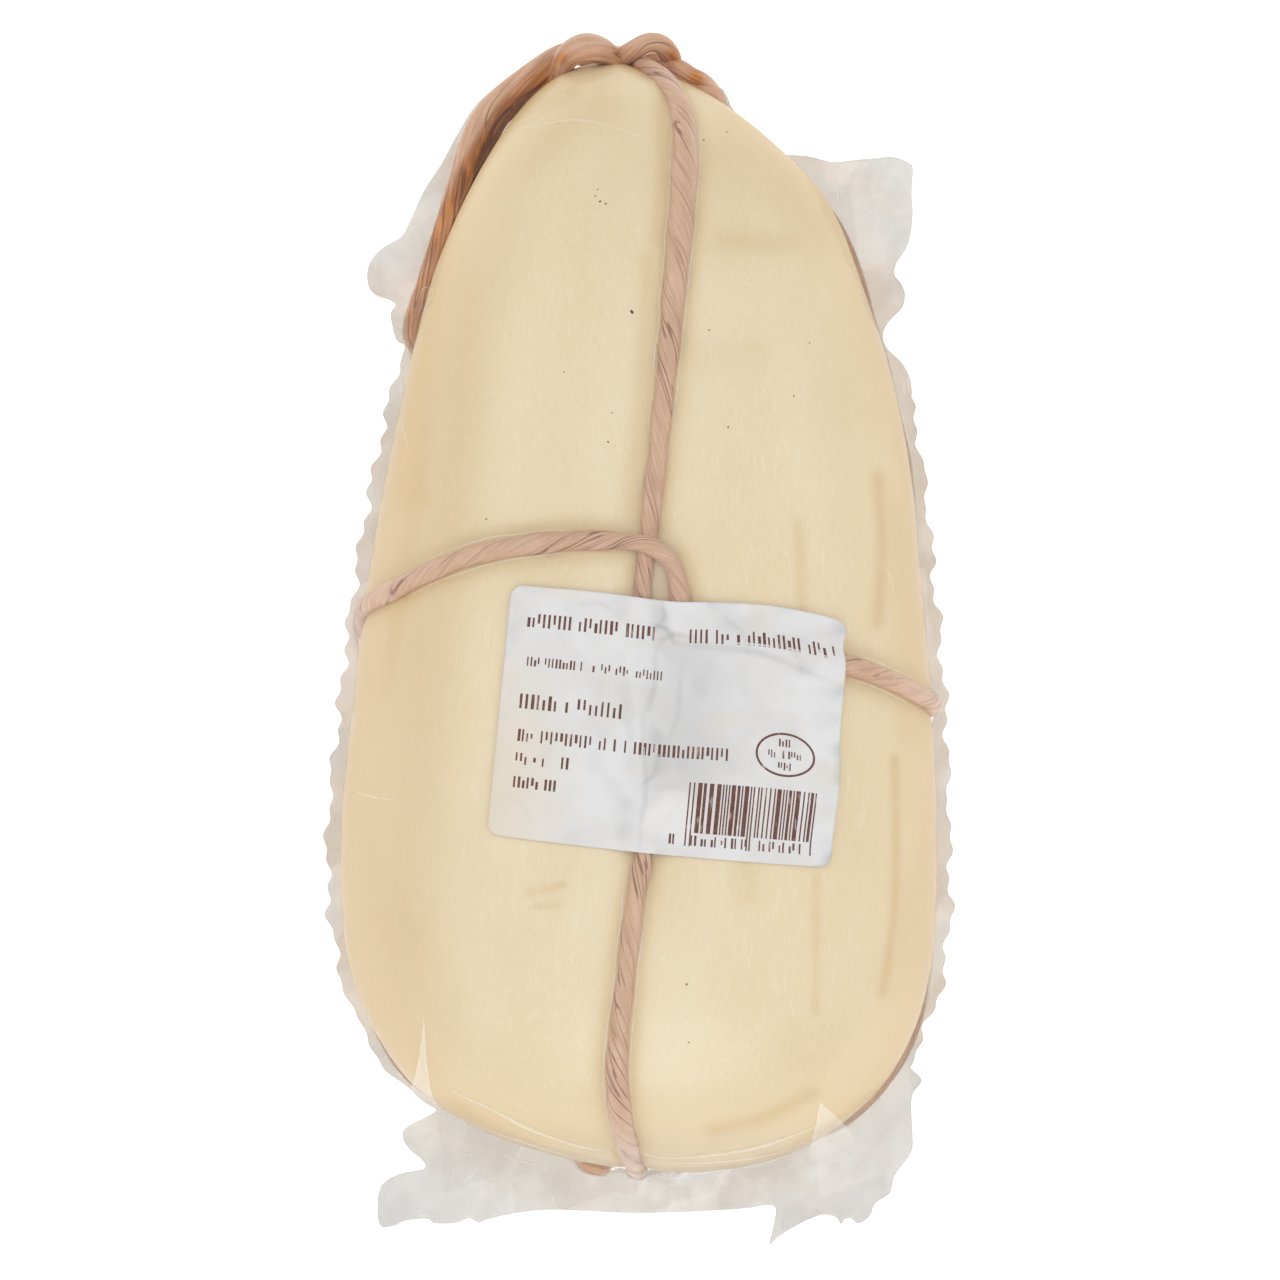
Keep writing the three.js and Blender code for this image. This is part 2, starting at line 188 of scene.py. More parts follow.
NECK_CORNER_RIGHT = [
    (57.3, 52.7), (56.9, 55.2), (55.2, 58.4), (52.1, 61.5), (51.2, 63.8), (51.7, 65.9), (53.3, 68),
    (55.2, 69.9), (55.9, 72.7), (55.2, 75), (53.6, 77.1), (54, 79.2), (56.5, 83.4), (57.5, 89.7),
    (57.3, 94.5), (57.5, 99.8), (57.1, 100.4), (55.2, 101.4), (53.3, 101.9), (46.8, 101.4), (40.5, 100.8),
    (35.7, 101.9), (30, 102.3),
]
# Where the narrow flanks start and end, along the pack.
LEFT_FLANK, RIGHT_FLANK = (58, -99), (-90, 51)

# Places that the camera sees are given in the plane of the widest outline.
# Oily amber patches and streaks on the cheese: where each runs, how wide it is and how strong. The broad
# band down the left flank is painted shade of that side.
AMBER_STREAKS = (
    (((-39, 96), (-43, 84), (-46, 68), (-47.5, 50), (-48, 30)), 6.0, 0.65),
    (((-48, 24), (-51, 8), (-54, -10)), 5.0, 0.45),
    # Painted shade of the left flank, in the same amber.
    (((-36, 88), (-43, 60), (-46, 20), (-49, -20), (-50, -60)), 12.0, 0.3),
    (((37, -50), (37, -64), (36.8, -78)), 1.0, 0.35),
    (((-53, -58), (-51, -76), (-46, -88)), 6.0, 0.35),
    (((50, 34), (51, 20), (50, 4)), 1.6, 0.6),
    (((53.5, -25), (53.8, -45), (53.2, -60), (51, -74)), 1.1, 0.6),
    (((53, 28), (56, 2), (57, -20)), 3.0, 0.3),
    (((33.4, 24), (33.8, 16), (34, 6)), 1.4, 0.35),
    (((22, -46), (22.5, -53)), 3.0, 0.25),
    (((15.5, -103.1), (25.8, -100.4), (36.3, -95.3)), 1.7, 0.5),
    (((6, 60), (14, 59), (24, 60)), 4.0, 0.12),
    (((18, 84), (28, 83.5), (37, 84.5)), 3.0, 0.28),
    (((20, 105), (30, 97), (38, 86)), 6.0, 0.3),
    (((-29, 108.5), (-22, 112), (-14.5, 115)), 3.2, 0.45),
    (((-8, 112), (-20, 105), (-30, 94)), 5.0, 0.3),
    (((-23, -53), (-16, -51.5)), 0.9, 0.4),
    (((-22, -56), (-17, -55.5)), 0.7, 0.35),
    (((2, 80), (0, 50), (-2.5, 28)), 2.2, 0.3),
    (((4.5, 112), (4.8, 100), (3.6, 84)), 2.0, 0.35),
)
# Small dark specks on the cheese: place and radius, and how many sides each has.
SPECK_SIDES = 14
SPECKS = (
    ((-1.7, 68.9), 0.5), ((18.3, 106.7), 0.3), ((13.4, 105), 0.26), ((14.5, 65.1), 0.24),
    ((-6.7, 41.6), 0.26), ((-5.9, 47.7), 0.2), ((-32.3, 25.4), 0.28), ((-16, 56.3), 0.2),
    ((32.3, 51.2), 0.22), ((18.5, 44.7), 0.24), ((-9.4, 93.2), 0.24), ((-8.4, 92.1), 0.3),
    ((-7.2, 91.6), 0.26), ((-8.9, 94.6), 0.18), ((35.6, 62.4), 0.2), ((-18.5, -30.6), 0.2),
    ((9.8, -72.3), 0.28), ((10.2, -84.5), 0.22),
)
# Folds of the film where it isn't pulled flat: where each runs and how wide it is. Their pale, milky crests
# are partly the film's whitening in a fold and partly painted highlight.
FILM_FOLDS = (
    (((-40.1, -94.4), (-30.6, -98.8), (-21.9, -103.1), (-13.3, -106.1), (-6.4, -107.4)), 1.9),
    (((-44.4, -96.2), (-36.6, -100.9), (-26.3, -104.8), (-16.7, -107.8), (-6.4, -110)), 1.1),
    (((0.5, -107.8), (5.2, -108.7), (17.3, -107.8), (25.9, -106.1), (34.5, -103.1), (38, -101.8)), 1.7),
    (((2.6, -109.9), (17.3, -109.5), (28.5, -107.8), (34.5, -105.7)), 0.9),
    (((1, -110.8), (10.4, -111.9), (20.7, -110.8), (28.5, -109.1), (35.8, -105.7)), 1.4),
    (((-38, -104.5), (-27, -108.8), (-16, -111.5)), 0.4),
    (((-49.8, 58.8), (-49.8, 45.2), (-48.6, 39.9)), 0.5),
    (((-55, 44.1), (-56.2, 30), (-57.1, 16.8)), 0.5),
    (((-26.9, 107.5), (-21, 110.9), (-15.5, 115), (-14.4, 118.4)), 0.4),
    (((-26.9, 107.1), (-13.4, 109.2), (-5.9, 107.7), (2.5, 105)), 0.4),
    (((-46.6, 71.6), (-45.2, 74.2), (-43.4, 73.2), (-45.4, 69), (-47, 62)), 0.6),
    (((40, 100.6), (40.4, 96.5), (41.6, 93.2), (42, 90.8), (45.3, 90), (48.5, 88.7), (52, 87.5)), 0.5),
    (((52, 87.5), (50.2, 85.1), (48.5, 83.4), (47.3, 81), (46.1, 76.9)), 0.5),
    (((47.7, 81.8), (51, 79.4), (52.6, 76.1)), 0.4),
    (((45.3, 76.1), (47.7, 76.5), (48.5, 73.6), (50.2, 68.7)), 0.5),
    (((51.6, 61), (54.3, 58.4), (55.7, 54.8), (56.4, 50)), 0.5),
    (((52.2, 57.4), (54.6, 52), (56.4, 44), (57.6, 38)), 0.4),
    (((-60.9, -31.5), (-55, -33.2), (-50.4, -33.6)), 0.35),
    (((-62, -54.6), (-58.8, -57.8)), 0.35),
    (((50.4, 16.8), (52.6, 13), (53.4, 8.6)), 0.35),
    (((53.6, 16), (55, 11.4)), 0.3),
)
# How far from the cord's side the film meets the cheese, and how wide the fold is that it makes there; the
# fold's pale crest is partly painted highlight.
TENT_OFFSET = 0.55
TENT_WIDTH = 0.42
# Webs of film that span from the cheese to the margin, by their left and right edges from the tip down.
FILM_WEBS = (
    (
        ((-45.4, -79), (-45.8, -83.7), (-46.8, -89.8), (-47.8, -93.6), (-48, -97.8)),
        ((-45.4, -79), (-45.1, -83.4), (-44.8, -88.1), (-43.3, -96.1), (-39.3, -100.5)),
    ),
    (
        ((37.8, -97), (36.8, -102.3), (35.9, -105.6), (34.9, -110.9)),
        ((37.8, -97), (40.5, -99.5), (43.3, -102.3), (47, -107.3)),
    ),
)

# The label. Its corners as they lie, seen from above, from its upper left round to its lower left, and how
# far its upper and right edges stray outwards from the straight lines between them.
LABEL_CORNERS = ((-26.3, 11.4), (43.0, 3.9), (39.3, -46.7), (-31.4, -39.8))
LABEL_TOP = [(0, 0), (0.27, 0.35), (0.47, 0.05), (0.62, 0.95), (0.75, 1.45), (0.88, 0.9), (1, -0.3)]
LABEL_RIGHT = [
    (0, 0), (0.1, -0.9), (0.17, -0.1), (0.48, -0.2), (0.62, 0.4), (0.75, 0.2), (0.92, -0.3), (1, 0),
]
LABEL_SIZE = (68.0, 50.0)
LABEL_ROUND = 2.5
LABEL_THICKNESS = 0.16
LABEL_GRID = (166, 122)
LABEL_BRIDGE, LABEL_ROUNDS = 0.25, 40
# Creases in the label's paper: from and to, across and down it, then how high and how wide.
LABEL_CREASES = (
    ((29, 4.5), (34.5, 8), 0.5, 0.5), ((30, 7.6), (37, 6.4), 0.45, 0.45),
    ((33.5, 7.6), (67, 12.5), 0.35, 0.7),
    ((31, 0), (30, 6), 0.3, 0.5), ((30.5, 9), (29, 24), 0.3, 0.5), ((29, 24), (30.5, 49), 0.35, 0.6),
    ((36, 12), (34, 30), 0.22, 0.6), ((33, 30), (29, 38), 0.3, 0.5), ((12, 2), (22, 3.5), 0.2, 0.5),
    ((43, 2), (49, 9), 0.22, 0.6), ((2, 40), (9, 47), 0.2, 0.6), ((53, 4), (60, 12), 0.2, 0.5),
)
# Where the print is rubbed off, and how wide that is.
SCUFF, SCUFF_RADIUS = (33.0, 6.6), 3.0
PRINT_RISE, PRINT_DEPTH, PRINT_CELL = 0.03, 0.02, 0.5
RING_STEPS = 72
# Rows of print: where each starts across and down the label, how tall it is, and how long its words are.
PRINT_ROWS = (
    (3.9, 5.4, 2.7, (18.6, 23.4, 11.2, 6.1)),
    (4.6, 14.0, 1.8, (11.4, 1.1, 5.8, 5.6)),
    (3.9, 21.4, 2.9, (8, 11.8)),
    (4.2, 28.4, 2.4, (3.4, 15.4, 21)),
    (4.2, 33.1, 2.3, (7.9, 2.8)),
    (4.2, 37.8, 2.2, (8.8,)),
)
WORD_GAP = 1.15
# The strip of bars with its longer guard bars, the starts of the blocks under it, and the oval.
STRIP = {"left": 38.7, "right": 64.0, "top": 35.4, "bottom": 45.2, "guard": 47.9}
GUARD_REACH = 0.9
FIGURES = (35.6, 39.9, 41.9, 43.9, 45.9, 47.9, 49.9, 53.4, 55.4, 57.4, 59.4, 61.4)
OVAL = {"u": 57.1, "v": 28.6, "half_width": 5.9, "half_height": 4.3, "line": 0.42}


# Curves and the cheese's form

def cubic(u, start, start_slope, end, end_slope):
    """The cubic that goes from start to end as u goes from 0 to 1."""
    return (
        (2 * u**3 - 3 * u**2 + 1) * start + (u**3 - 2 * u**2 + u) * start_slope
        + (3 * u**2 - 2 * u**3) * end + (u**3 - u**2) * end_slope
    )


def along(stations, position):
    """A smooth curve through (position, value) stations, with its neighbours' slope at each."""
    at, value = np.array(stations, float).T
    before = np.clip(np.arange(len(at)) - 1, 0, None)
    after = np.clip(np.arange(len(at)) + 1, None, len(at) - 1)
    slope = (value[after] - value[before]) / (at[after] - at[before])
    t = np.clip(position, at[0], at[-1])
    i = np.clip(np.searchsorted(at, t) - 1, 0, len(at) - 2)
    span = at[i + 1] - at[i]
    return cubic((t - at[i]) / span, value[i], span * slope[i], value[i + 1], span * slope[i + 1])


def bell(gap, width):
    """1 at no gap, down to 0 a few widths away."""
    return np.exp(-((gap / width) ** 2))


def runs(steps):
    """How far along a line each of its points is, from the lengths of its steps."""
    return np.concatenate([[0], np.cumsum(steps)])


def full_turn(count):
    return np.linspace(0, 2 * np.pi, count, endpoint=False)


def station(y):
    return (y - MIDDLE_Y) / HALF_LENGTH


def depth_share(z):
    return np.where(z > 0, FRONT_DEPTH, BACK_DEPTH)


def depth_field(p):
    """Below 0 inside the cheese, 0 on its skin and above 0 outside."""
    s = station(p[..., 1])
    across = np.abs(p[..., 0] - along(SWAY, s)) ** SQUARENESS
    through = (np.abs(p[..., 2]) / depth_share(p[..., 2])) ** SQUARENESS
    ring = (across + through) ** (1 / SQUARENESS) / along(GIRTH, s)
    return ring * ring + s * s - 1


def section(around):
    """The cheese's section for a ring of 1, from its right over its front: across it and through it."""
    c, d = np.cos(around), np.sin(around)
    power = 2 / SQUARENESS
    return np.sign(c) * np.abs(c) ** power, depth_share(d) * np.sign(d) * np.abs(d) ** power


def skin(polar, around):
    """Points of the skin: polar runs from the neck to the foot, around from the right over the front."""
    s = np.cos(polar)
    ring = np.sin(polar) * along(GIRTH, s)
    across, through = section(around)
    y = MIDDLE_Y + HALF_LENGTH * s + 0 * across
    return np.stack([along(SWAY, s) + ring * across, y, ring * through], -1)


def even_angles(low, high, count):
    """Angles round the cheese from low to high, a row for each, evenly spaced along its section."""
    table = np.linspace(-1.2, 2 * np.pi + 1.2, 40001)
    across, through = section(table)
    run = runs(np.hypot(np.diff(across), np.diff(through)))
    start, end = np.interp(low, table, run), np.interp(high, table, run)
    share = np.linspace(0, 1, count)
    return np.interp(start[:, None] + (end - start)[:, None] * share, run, table)


def unit(v):
    return v / np.maximum(np.linalg.norm(v, axis=-1, keepdims=True), 1e-9)


def skin_normal(p, reach=0.05):
    steps = np.eye(3) * reach
    return unit(np.stack([depth_field(p + e) - depth_field(p - e) for e in steps], -1))


def spine_point(p):
    y = np.clip(p[..., 1], *SPINE_ENDS)
    return np.stack([along(SWAY, station(y)), y, 0 * y], -1)


def on_skin(place, lift):
    """Where the line from the spine through each place leaves the cheese, and then lift mm further out."""
    start = spine_point(place)
    ray = unit(place - start)
    near = np.zeros(len(place))
    far = near + 2 * HALF_LENGTH
    for _ in range(30):
        middle = (near + far) / 2
        inside = depth_field(start + ray * middle[:, None]) < 0
        near = np.where(inside, middle, near)
        far = np.where(inside, far, middle)
    return start + ray * (near + lift)[:, None]


def smooth_route(places, step, closed):
    """A centripetal Catmull-Rom curve through the places, as points step mm apart."""
    p = np.array(places, float)
    if closed:
        p = np.concatenate([p[-1:], p, p[:2]])
    else:
        p = np.concatenate([2 * p[:1] - p[1:2], p, 2 * p[-1:] - p[-2:-1]])
    u = np.linspace(0, 1, 60, endpoint=False)[:, None]
    spans = []
    for a, b, c, d in zip(p[:-3], p[1:-2], p[2:-1], p[3:]):
        gaps = [np.linalg.norm(q - r) ** 0.5 for q, r in ((b, a), (c, b), (d, c))]
        out = (b - a) / gaps[0] - (c - a) / (gaps[0] + gaps[1]) + (c - b) / gaps[1]
        home = (c - b) / gaps[1] - (d - b) / (gaps[1] + gaps[2]) + (d - c) / gaps[2]
        spans.append(cubic(u, b, out * gaps[1], c, home * gaps[1]))
    fine = np.concatenate(spans + [p[-2:-1]])
    run = runs(np.linalg.norm(np.diff(fine, axis=0), axis=1))
    count = max(int(round(run[-1] / step)), 4)
    at = np.linspace(0, run[-1], count + 1)[: count if closed else None]
    return np.stack([np.interp(at, run, fine[:, k]) for k in range(3)], -1)


def smoothstep(low, high, value):
    t = np.clip((value - low) / (high - low), 0, 1)
    return t * t * (3 - 2 * t)


def waves(points, scale, count, seed, profile=lambda phase: np.sin(2 * np.pi * phase)):
    """Soft seeded noise from about -1 to 1, a sum of plane waves with swells about scale mm long."""
    draw = np.random.default_rng(seed)
    total = 0
    for _ in range(count):
        direction = unit(draw.normal(size=points.shape[-1]))
        length = scale * draw.uniform(0.6, 1.7)
        total = total + profile(points @ direction / length + draw.uniform())
    return total / math.sqrt(2 * count)


def folds(points, scale, count, seed):
    """Like waves, but in flat facets that meet in sharp creases, as crumpled film does."""
    return waves(points, scale, count, seed, lambda phase: 4 * np.abs(phase - np.floor(phase + 0.5)) - 1)


def flat_line(places, step):
    """A smooth line through places as they are seen from above."""
    return smooth_route(np.column_stack([places, np.zeros(len(places))]), step, False)[:, :2]


def as_seen(points):
    """Where the camera sees points, in the plane of the widest outline."""
    return points[..., :2] * (CAMERA_DISTANCE / (CAMERA_DISTANCE - points[..., 2:]))


def nearest_on(line, points):
    """The number of the line's sample that is nearest to each flat point."""
    return np.array([np.argmin(np.hypot(*(line - q).T)) for q in points])


def at_each(places, find):
    """What find gives for each place of a grid."""
    found = [find(place) for place in places.reshape(-1, places.shape[-1])]
    return np.array(found).reshape(places.shape[:-1])


def distance_to(points, line):
    """From each point to the nearest sample of a line, in blocks that fit in memory."""
    flat = points.reshape(-1, points.shape[-1])
    blocks = np.array_split(flat, len(flat) // 4000 + 1)
    nearest = [np.linalg.norm(block[:, None] - line, axis=2).min(1) for block in blocks]
    return np.concatenate(nearest).reshape(points.shape[:-1])


# Meshes

def new_object(name, data):
    made = bpy.data.objects.new(name, data)
    bpy.context.scene.collection.objects.link(made)
    return made


def new_piece(name, points, faces, material, slot, smooth=True, attributes=None):
    """A mesh object from millimetre points, on the one body. Shadows and soft light ignore the film."""
    mesh = bpy.data.meshes.new(name)
    placed = (np.asarray(points).reshape(-1, 3) + (0, 0, REST_HEIGHT)) * MM
    mesh.from_pydata(placed.tolist(), [], faces)
    mesh.update()
    for key, values in (attributes or {}).items():
        values = np.asarray(values, np.float32).ravel()
        kind, field = ("FLOAT_VECTOR", "vector") if len(values) == placed.size else ("FLOAT", "value")
        mesh.attributes.new(key, kind, "POINT").data.foreach_set(field, values)
    mesh.polygons.foreach_set("use_smooth", [smooth] * len(mesh.polygons))
    piece = new_object(name, mesh)
    mesh.materials.append(material)
    piece.visible_shadow = slot != "film"
    piece.visible_diffuse = slot != "film"
    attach(piece, "root")
    return piece


def grid_faces(rows, columns, wrap_rows=False, wrap_columns=False):
    r = np.arange(rows if wrap_rows else rows - 1)
    c = np.arange(columns if wrap_columns else columns - 1)
    r, c = (a.ravel() for a in np.meshgrid(r, c, indexing="ij"))
    r2, c2 = (r + 1) % rows, (c + 1) % columns
    quads = np.stack([r * columns + c, r * columns + c2, r2 * columns + c2, r2 * columns + c], 1)
    return quads.tolist()


def sweep(route, radius, turns):
    """Rings of points round a closed route, radius[ring, side] from it, turning as they go."""
    rings, sides = radius.shape
    tangent = unit(np.roll(route, -1, 0) - np.roll(route, 1, 0))
    normal = np.empty_like(route)
    normal[0] = unit(np.cross(tangent[0], (0.3, 0.2, 1.0)))
    for i in range(1, rings):
        normal[i] = unit(normal[i - 1] - tangent[i] * (normal[i - 1] @ tangent[i]))
    last = normal[-1] - tangent[0] * (normal[-1] @ tangent[0])
    twist = math.atan2(last @ np.cross(tangent[0], normal[0]), last @ normal[0])
    across = np.cross(tangent, normal)
    turned = (twist + 2 * np.pi * turns) * np.arange(rings)[:, None] / rings
    angle = (full_turn(sides) - turned)[..., None]
    out = normal[:, None] * np.cos(angle) + across[:, None] * np.sin(angle)
    return route[:, None] + out * radius[..., None]


def slab(upper, lower):
    """Two grids of points as one closed solid, as lists of points and faces."""
    rows, columns = upper.shape[:2]
    count = rows * columns
    faces = [face[::-1] for face in grid_faces(rows, columns)]
    faces = grid_faces(rows, columns) + [[i + count for i in face] for face in faces]
    number = np.arange(count).reshape(rows, columns)
    border = np.concatenate([number[0], number[1:, -1], number[-1, -2::-1], number[-2:0:-1, 0]]).tolist()
    faces += [(b, a, a + count, b + count) for a, b in zip(border, border[1:] + border[:1])]
    return np.concatenate([upper.reshape(-1, 3), lower.reshape(-1, 3)]), faces


def joined(shapes):
    """Several (points, faces) as one."""
    points, faces, count = [], [], 0
    for p, f in shapes:
        points.append(p)
        faces += [[i + count for i in face] for face in f]
        count += len(p)
    return np.concatenate(points), faces


def joined_tree(shapes):
    """One ray-casting tree over several shapes."""
    points, faces = joined(shapes)
    return BVHTree.FromPolygons(points.tolist(), faces)


# Materials

def material(name):
    made = bpy.data.materials.new(name)
    made.use_nodes = True
    tree = made.node_tree
    tree.nodes.clear()
    output = tree.nodes.new("ShaderNodeOutputMaterial")
    shader = tree.nodes.new("ShaderNodeBsdfPrincipled")
    tree.links.new(shader.outputs[0], output.inputs["Surface"])
    return made, tree, shader, output


def node(tree, kind, **values):
    """A new node with its inputs set by name, or linked where the value is another node's output."""
    made = tree.nodes.new(kind)
    for key, value in values.items():
        socket = made.inputs[int(key[1:])] if key[0] == "i" and key[1:].isdigit() else None
        if socket is None and key in made.inputs:
            socket = made.inputs[key]
        if socket is None:
            setattr(made, key, value)
        elif isinstance(value, bpy.types.NodeSocket):
            tree.links.new(value, socket)
        else:
            socket.default_value = value
    return made


def rgb(red, green, blue):
    """A colour as seen on screen, 0 to 255, as linear light."""
    values = [v / 255 for v in (red, green, blue)]
    return tuple(v / 12.92 if v <= 0.04045 else ((v + 0.055) / 1.055) ** 2.4 for v in values) + (1.0,)


def noise(tree, scale, detail, stretch=(1, 1, 1)):
    place = node(tree, "ShaderNodeTexCoord").outputs["Object"]
    place = node(tree, "ShaderNodeMapping", Vector=place, Scale=stretch).outputs[0]
    return node(tree, "ShaderNodeTexNoise", Vector=place, Scale=scale, Detail=detail).outputs["Fac"]


def between(tree, value, low, high):
    """0 where the value is low and 1 where it is high, with a soft change from one to the other."""
    return node(
        tree, "ShaderNodeMapRange", interpolation_type="SMOOTHSTEP", Value=value, i1=low, i2=high
    ).outputs[0]


def patchy(tree, scale, detail, low, high, stretch=(1, 1, 1)):
    """Patches with soft edges: noise that counts as 0 below low and as 1 above high."""
    return between(tree, noise(tree, scale, detail, stretch), low, high)


def maths(tree, operation, first, second):
    return node(tree, "ShaderNodeMath", operation=operation, i0=first, i1=second).outputs[0]


def times(tree, first, second):
    return maths(tree, "MULTIPLY", first, second)


def blended(tree, share, first, second):
    return node(tree, "ShaderNodeMix", data_type="RGBA", i0=share, i6=first, i7=second).outputs[2]


def attribute(tree, name):
    return node(tree, "ShaderNodeAttribute", attribute_name=name).outputs["Fac"]


def bump(tree, height, distance, strength=1.0):
    return node(tree, "ShaderNodeBump", Height=height, Distance=distance, Strength=strength).outputs[0]


def finished(tree, shader, colour, roughness, normal=None):
    tree.links.new(colour, shader.inputs["Base Color"])
    shader.inputs["Roughness"].default_value = roughness
    if normal is not None:
        tree.links.new(normal, shader.inputs["Normal"])


def crumpled(tree, size):
    """A tone for each of the flat facets, about size mm across, of crumpled film."""
    place = node(tree, "ShaderNodeTexCoord").outputs["Object"]
    sway = node(tree, "ShaderNodeTexNoise", Vector=place, Scale=1000 / size, Detail=2.0).outputs["Color"]
    sway = node(tree, "ShaderNodeVectorMath", operation="SCALE", i0=sway, Scale=0.2 * size * MM).outputs[0]
    place = node(tree, "ShaderNodeVectorMath", operation="ADD", i0=place, i1=sway).outputs[0]
    facets = node(tree, "ShaderNodeTexVoronoi", feature="F1", Vector=place, Scale=1000 / size)
    return node(tree, "ShaderNodeSeparateColor", Color=facets.outputs["Color"]).outputs[0]


def cheese_material():
    made, tree, shader, _ = material("curd")
    cloud = patchy(tree, 26, 4, 0.35, 0.68, (1, 0.45, 1))
    colour = blended(tree, cloud, rgb(238, 221, 188), rgb(233, 213, 174))
    strands = noise(tree, 1500, 3, (1, 0.1, 1))
    pale = times(tree, between(tree, strands, 0.5, 0.72), 0.5)
    colour = blended(tree, pale, colour, rgb(240, 227, 198))
    dull = times(tree, patchy(tree, 2600, 2, 0.5, 0.75, (1, 0.4, 1)), 0.18)
    colour = blended(tree, dull, colour, rgb(206, 180, 138))
    # Amber: oily streaks and patches, plus painted shade on the flanks and down the left side.
    colour = blended(tree, attribute(tree, "amber"), colour, rgb(206, 172, 110))
    finished(tree, shader, colour, 0.5, bump(tree, strands, 0.00012))
    return made


def speck_material():
    made, tree, shader, _ = material("dark_speck")
    colour = blended(tree, patchy(tree, 1800, 2, 0.4, 0.6), rgb(112, 62, 30), rgb(58, 34, 20))
    finished(tree, shader, colour, 0.7)
    return made


def cord_material():
    """Speckled crepe paper, with thin creases along its twist darkened by painted shade, and brown where
    oil soaks it and, as painted shade, in the hanging loop's hollows.
    """
    made, tree, shader, _ = material("paper_cord")
    place = node(tree, "ShaderNodeAttribute", attribute_name="fibre").outputs["Vector"]
    fibre, wrinkle, bundle = (
        node(tree, "ShaderNodeTexNoise", Vector=place, Scale=scale, Detail=detail).outputs["Fac"]
        for scale, detail in ((1.7, 3.0), (0.62, 1.0), (0.3, 1.0))
    )
    from_line = maths(tree, "ABSOLUTE", maths(tree, "SUBTRACT", wrinkle, 0.5), 0)
    lines = times(tree, between(tree, from_line, 0.03, 0.006), between(tree, bundle, 0.46, 0.56))
    colour = blended(tree, between(tree, fibre, 0.3, 0.7), rgb(202, 163, 135), rgb(217, 181, 154))
    speckle = patchy(tree, 1500, 2, 0.56, 0.72)
    colour = blended(tree, times(tree, speckle, 0.3), colour, rgb(184, 138, 112))
    blotch = patchy(tree, 120, 2, 0.5, 0.72)
    colour = blended(tree, times(tree, blotch, 0.4), colour, rgb(196, 150, 124))
    soaked = blended(tree, between(tree, fibre, 0.42, 0.62), rgb(158, 90, 22), rgb(206, 128, 44))
    # Oil soak, and painted shade in the hanging loop's hollows.
    colour = blended(tree, attribute(tree, "oily"), colour, soaked)
    # Painted shade down in the creases and along the thin crease lines.
    dark = maths(tree, "MAXIMUM", times(tree, attribute(tree, "crease"), 0.6), lines)
    colour = blended(tree, times(tree, dark, 0.75), colour, rgb(124, 76, 56))
    relief = maths(tree, "SUBTRACT", times(tree, fibre, 0.5), lines)
    finished(tree, shader, colour, 0.6, bump(tree, relief, 0.00014))
    return made


def film_material():
    """Clear where it lies on the cheese, milky in facets where it is crumpled, with a gloss all over."""
    made, tree, shader, output = material("vacuum_film")
    soft = times(tree, patchy(tree, 110, 2, 0.35, 0.65), 0.6)
    facets = maths(tree, "ADD", times(tree, crumpled(tree, 13), 0.4), soft)
    cloud = blended(tree, facets, rgb(168, 168, 165), rgb(178, 178, 175))
    # Warm: painted light from the curd, passed and reflected into the margin near the cheese.
    tint = blended(tree, attribute(tree, "warm"), cloud, rgb(180, 163, 140))
    # Pale: the near-white film of the webs, and of the folds' crests, where it is partly painted highlight.
    tint = blended(tree, attribute(tree, "pale"), tint, rgb(252, 248, 238))
    normal = bump(tree, noise(tree, 300, 2), 0.0002, 0.2)
    finished(tree, shader, tint, 0.22, normal)
    uneven = maths(tree, "SUBTRACT", times(tree, facets, 0.1), 0.05)
    haze = maths(tree, "ADD", attribute(tree, "haze"), times(tree, uneven, attribute(tree, "crumple")))
    clear = node(tree, "ShaderNodeBsdfTransparent")
    body = node(tree, "ShaderNodeMixShader", i0=haze, i1=clear.outputs[0], i2=shader.outputs[0])
    gloss = node(tree, "ShaderNodeBsdfGlossy", Roughness=0.2, Normal=normal)
    facing = node(tree, "ShaderNodeFresnel", IOR=1.3, Normal=normal)
    share = maths(tree, "MINIMUM", facing.outputs[0], 0.06)
    skin_mix = node(tree, "ShaderNodeMixShader", i0=share, i1=body.outputs[0], i2=gloss.outputs[0])
    tree.links.new(skin_mix.outputs[0], output.inputs["Surface"])
    return made


def label_material():
    """Thin white paper that turns grey and lets the curd show through where it is damp, and is greyer along
    its creases and where it stands off the film.
    """
    made, tree, shader, _ = material("label_paper")
    cloud = patchy(tree, 70, 3, 0.4, 0.65)
    colour = blended(tree, cloud, rgb(240, 239, 239), rgb(233, 230, 228))
    colour = blended(tree, attribute(tree, "thin"), colour, rgb(186, 187, 188))
    colour = blended(tree, attribute(tree, "oily"), colour, rgb(226, 213, 190))
    finished(tree, shader, colour, 0.45, bump(tree, noise(tree, 900, 3), 0.00004))
    return made


def print_material():
    made, tree, shader, _ = material("label_print")
    worn = patchy(tree, 500, 3, 0.6, 0.72, (2.5, 0.4, 1))
    colour = blended(tree, patchy(tree, 2500, 2, 0.45, 0.75), rgb(98, 58, 48), rgb(130, 90, 79))
    colour = blended(tree, times(tree, worn, 0.7), colour, rgb(196, 180, 172))
    finished(tree, shader, colour, 0.6)
    return made


def floor_material():
    made, tree, shader, _ = material("white_table")
    colour = blended(tree, noise(tree, 3, 2), rgb(250, 250, 250), rgb(253, 253, 253))
    finished(tree, shader, colour, 0.9)
    shader.inputs["Emission Color"].default_value = (1, 1, 1, 1)
    shader.inputs["Emission Strength"].default_value = 0.5
    return made


# Cord

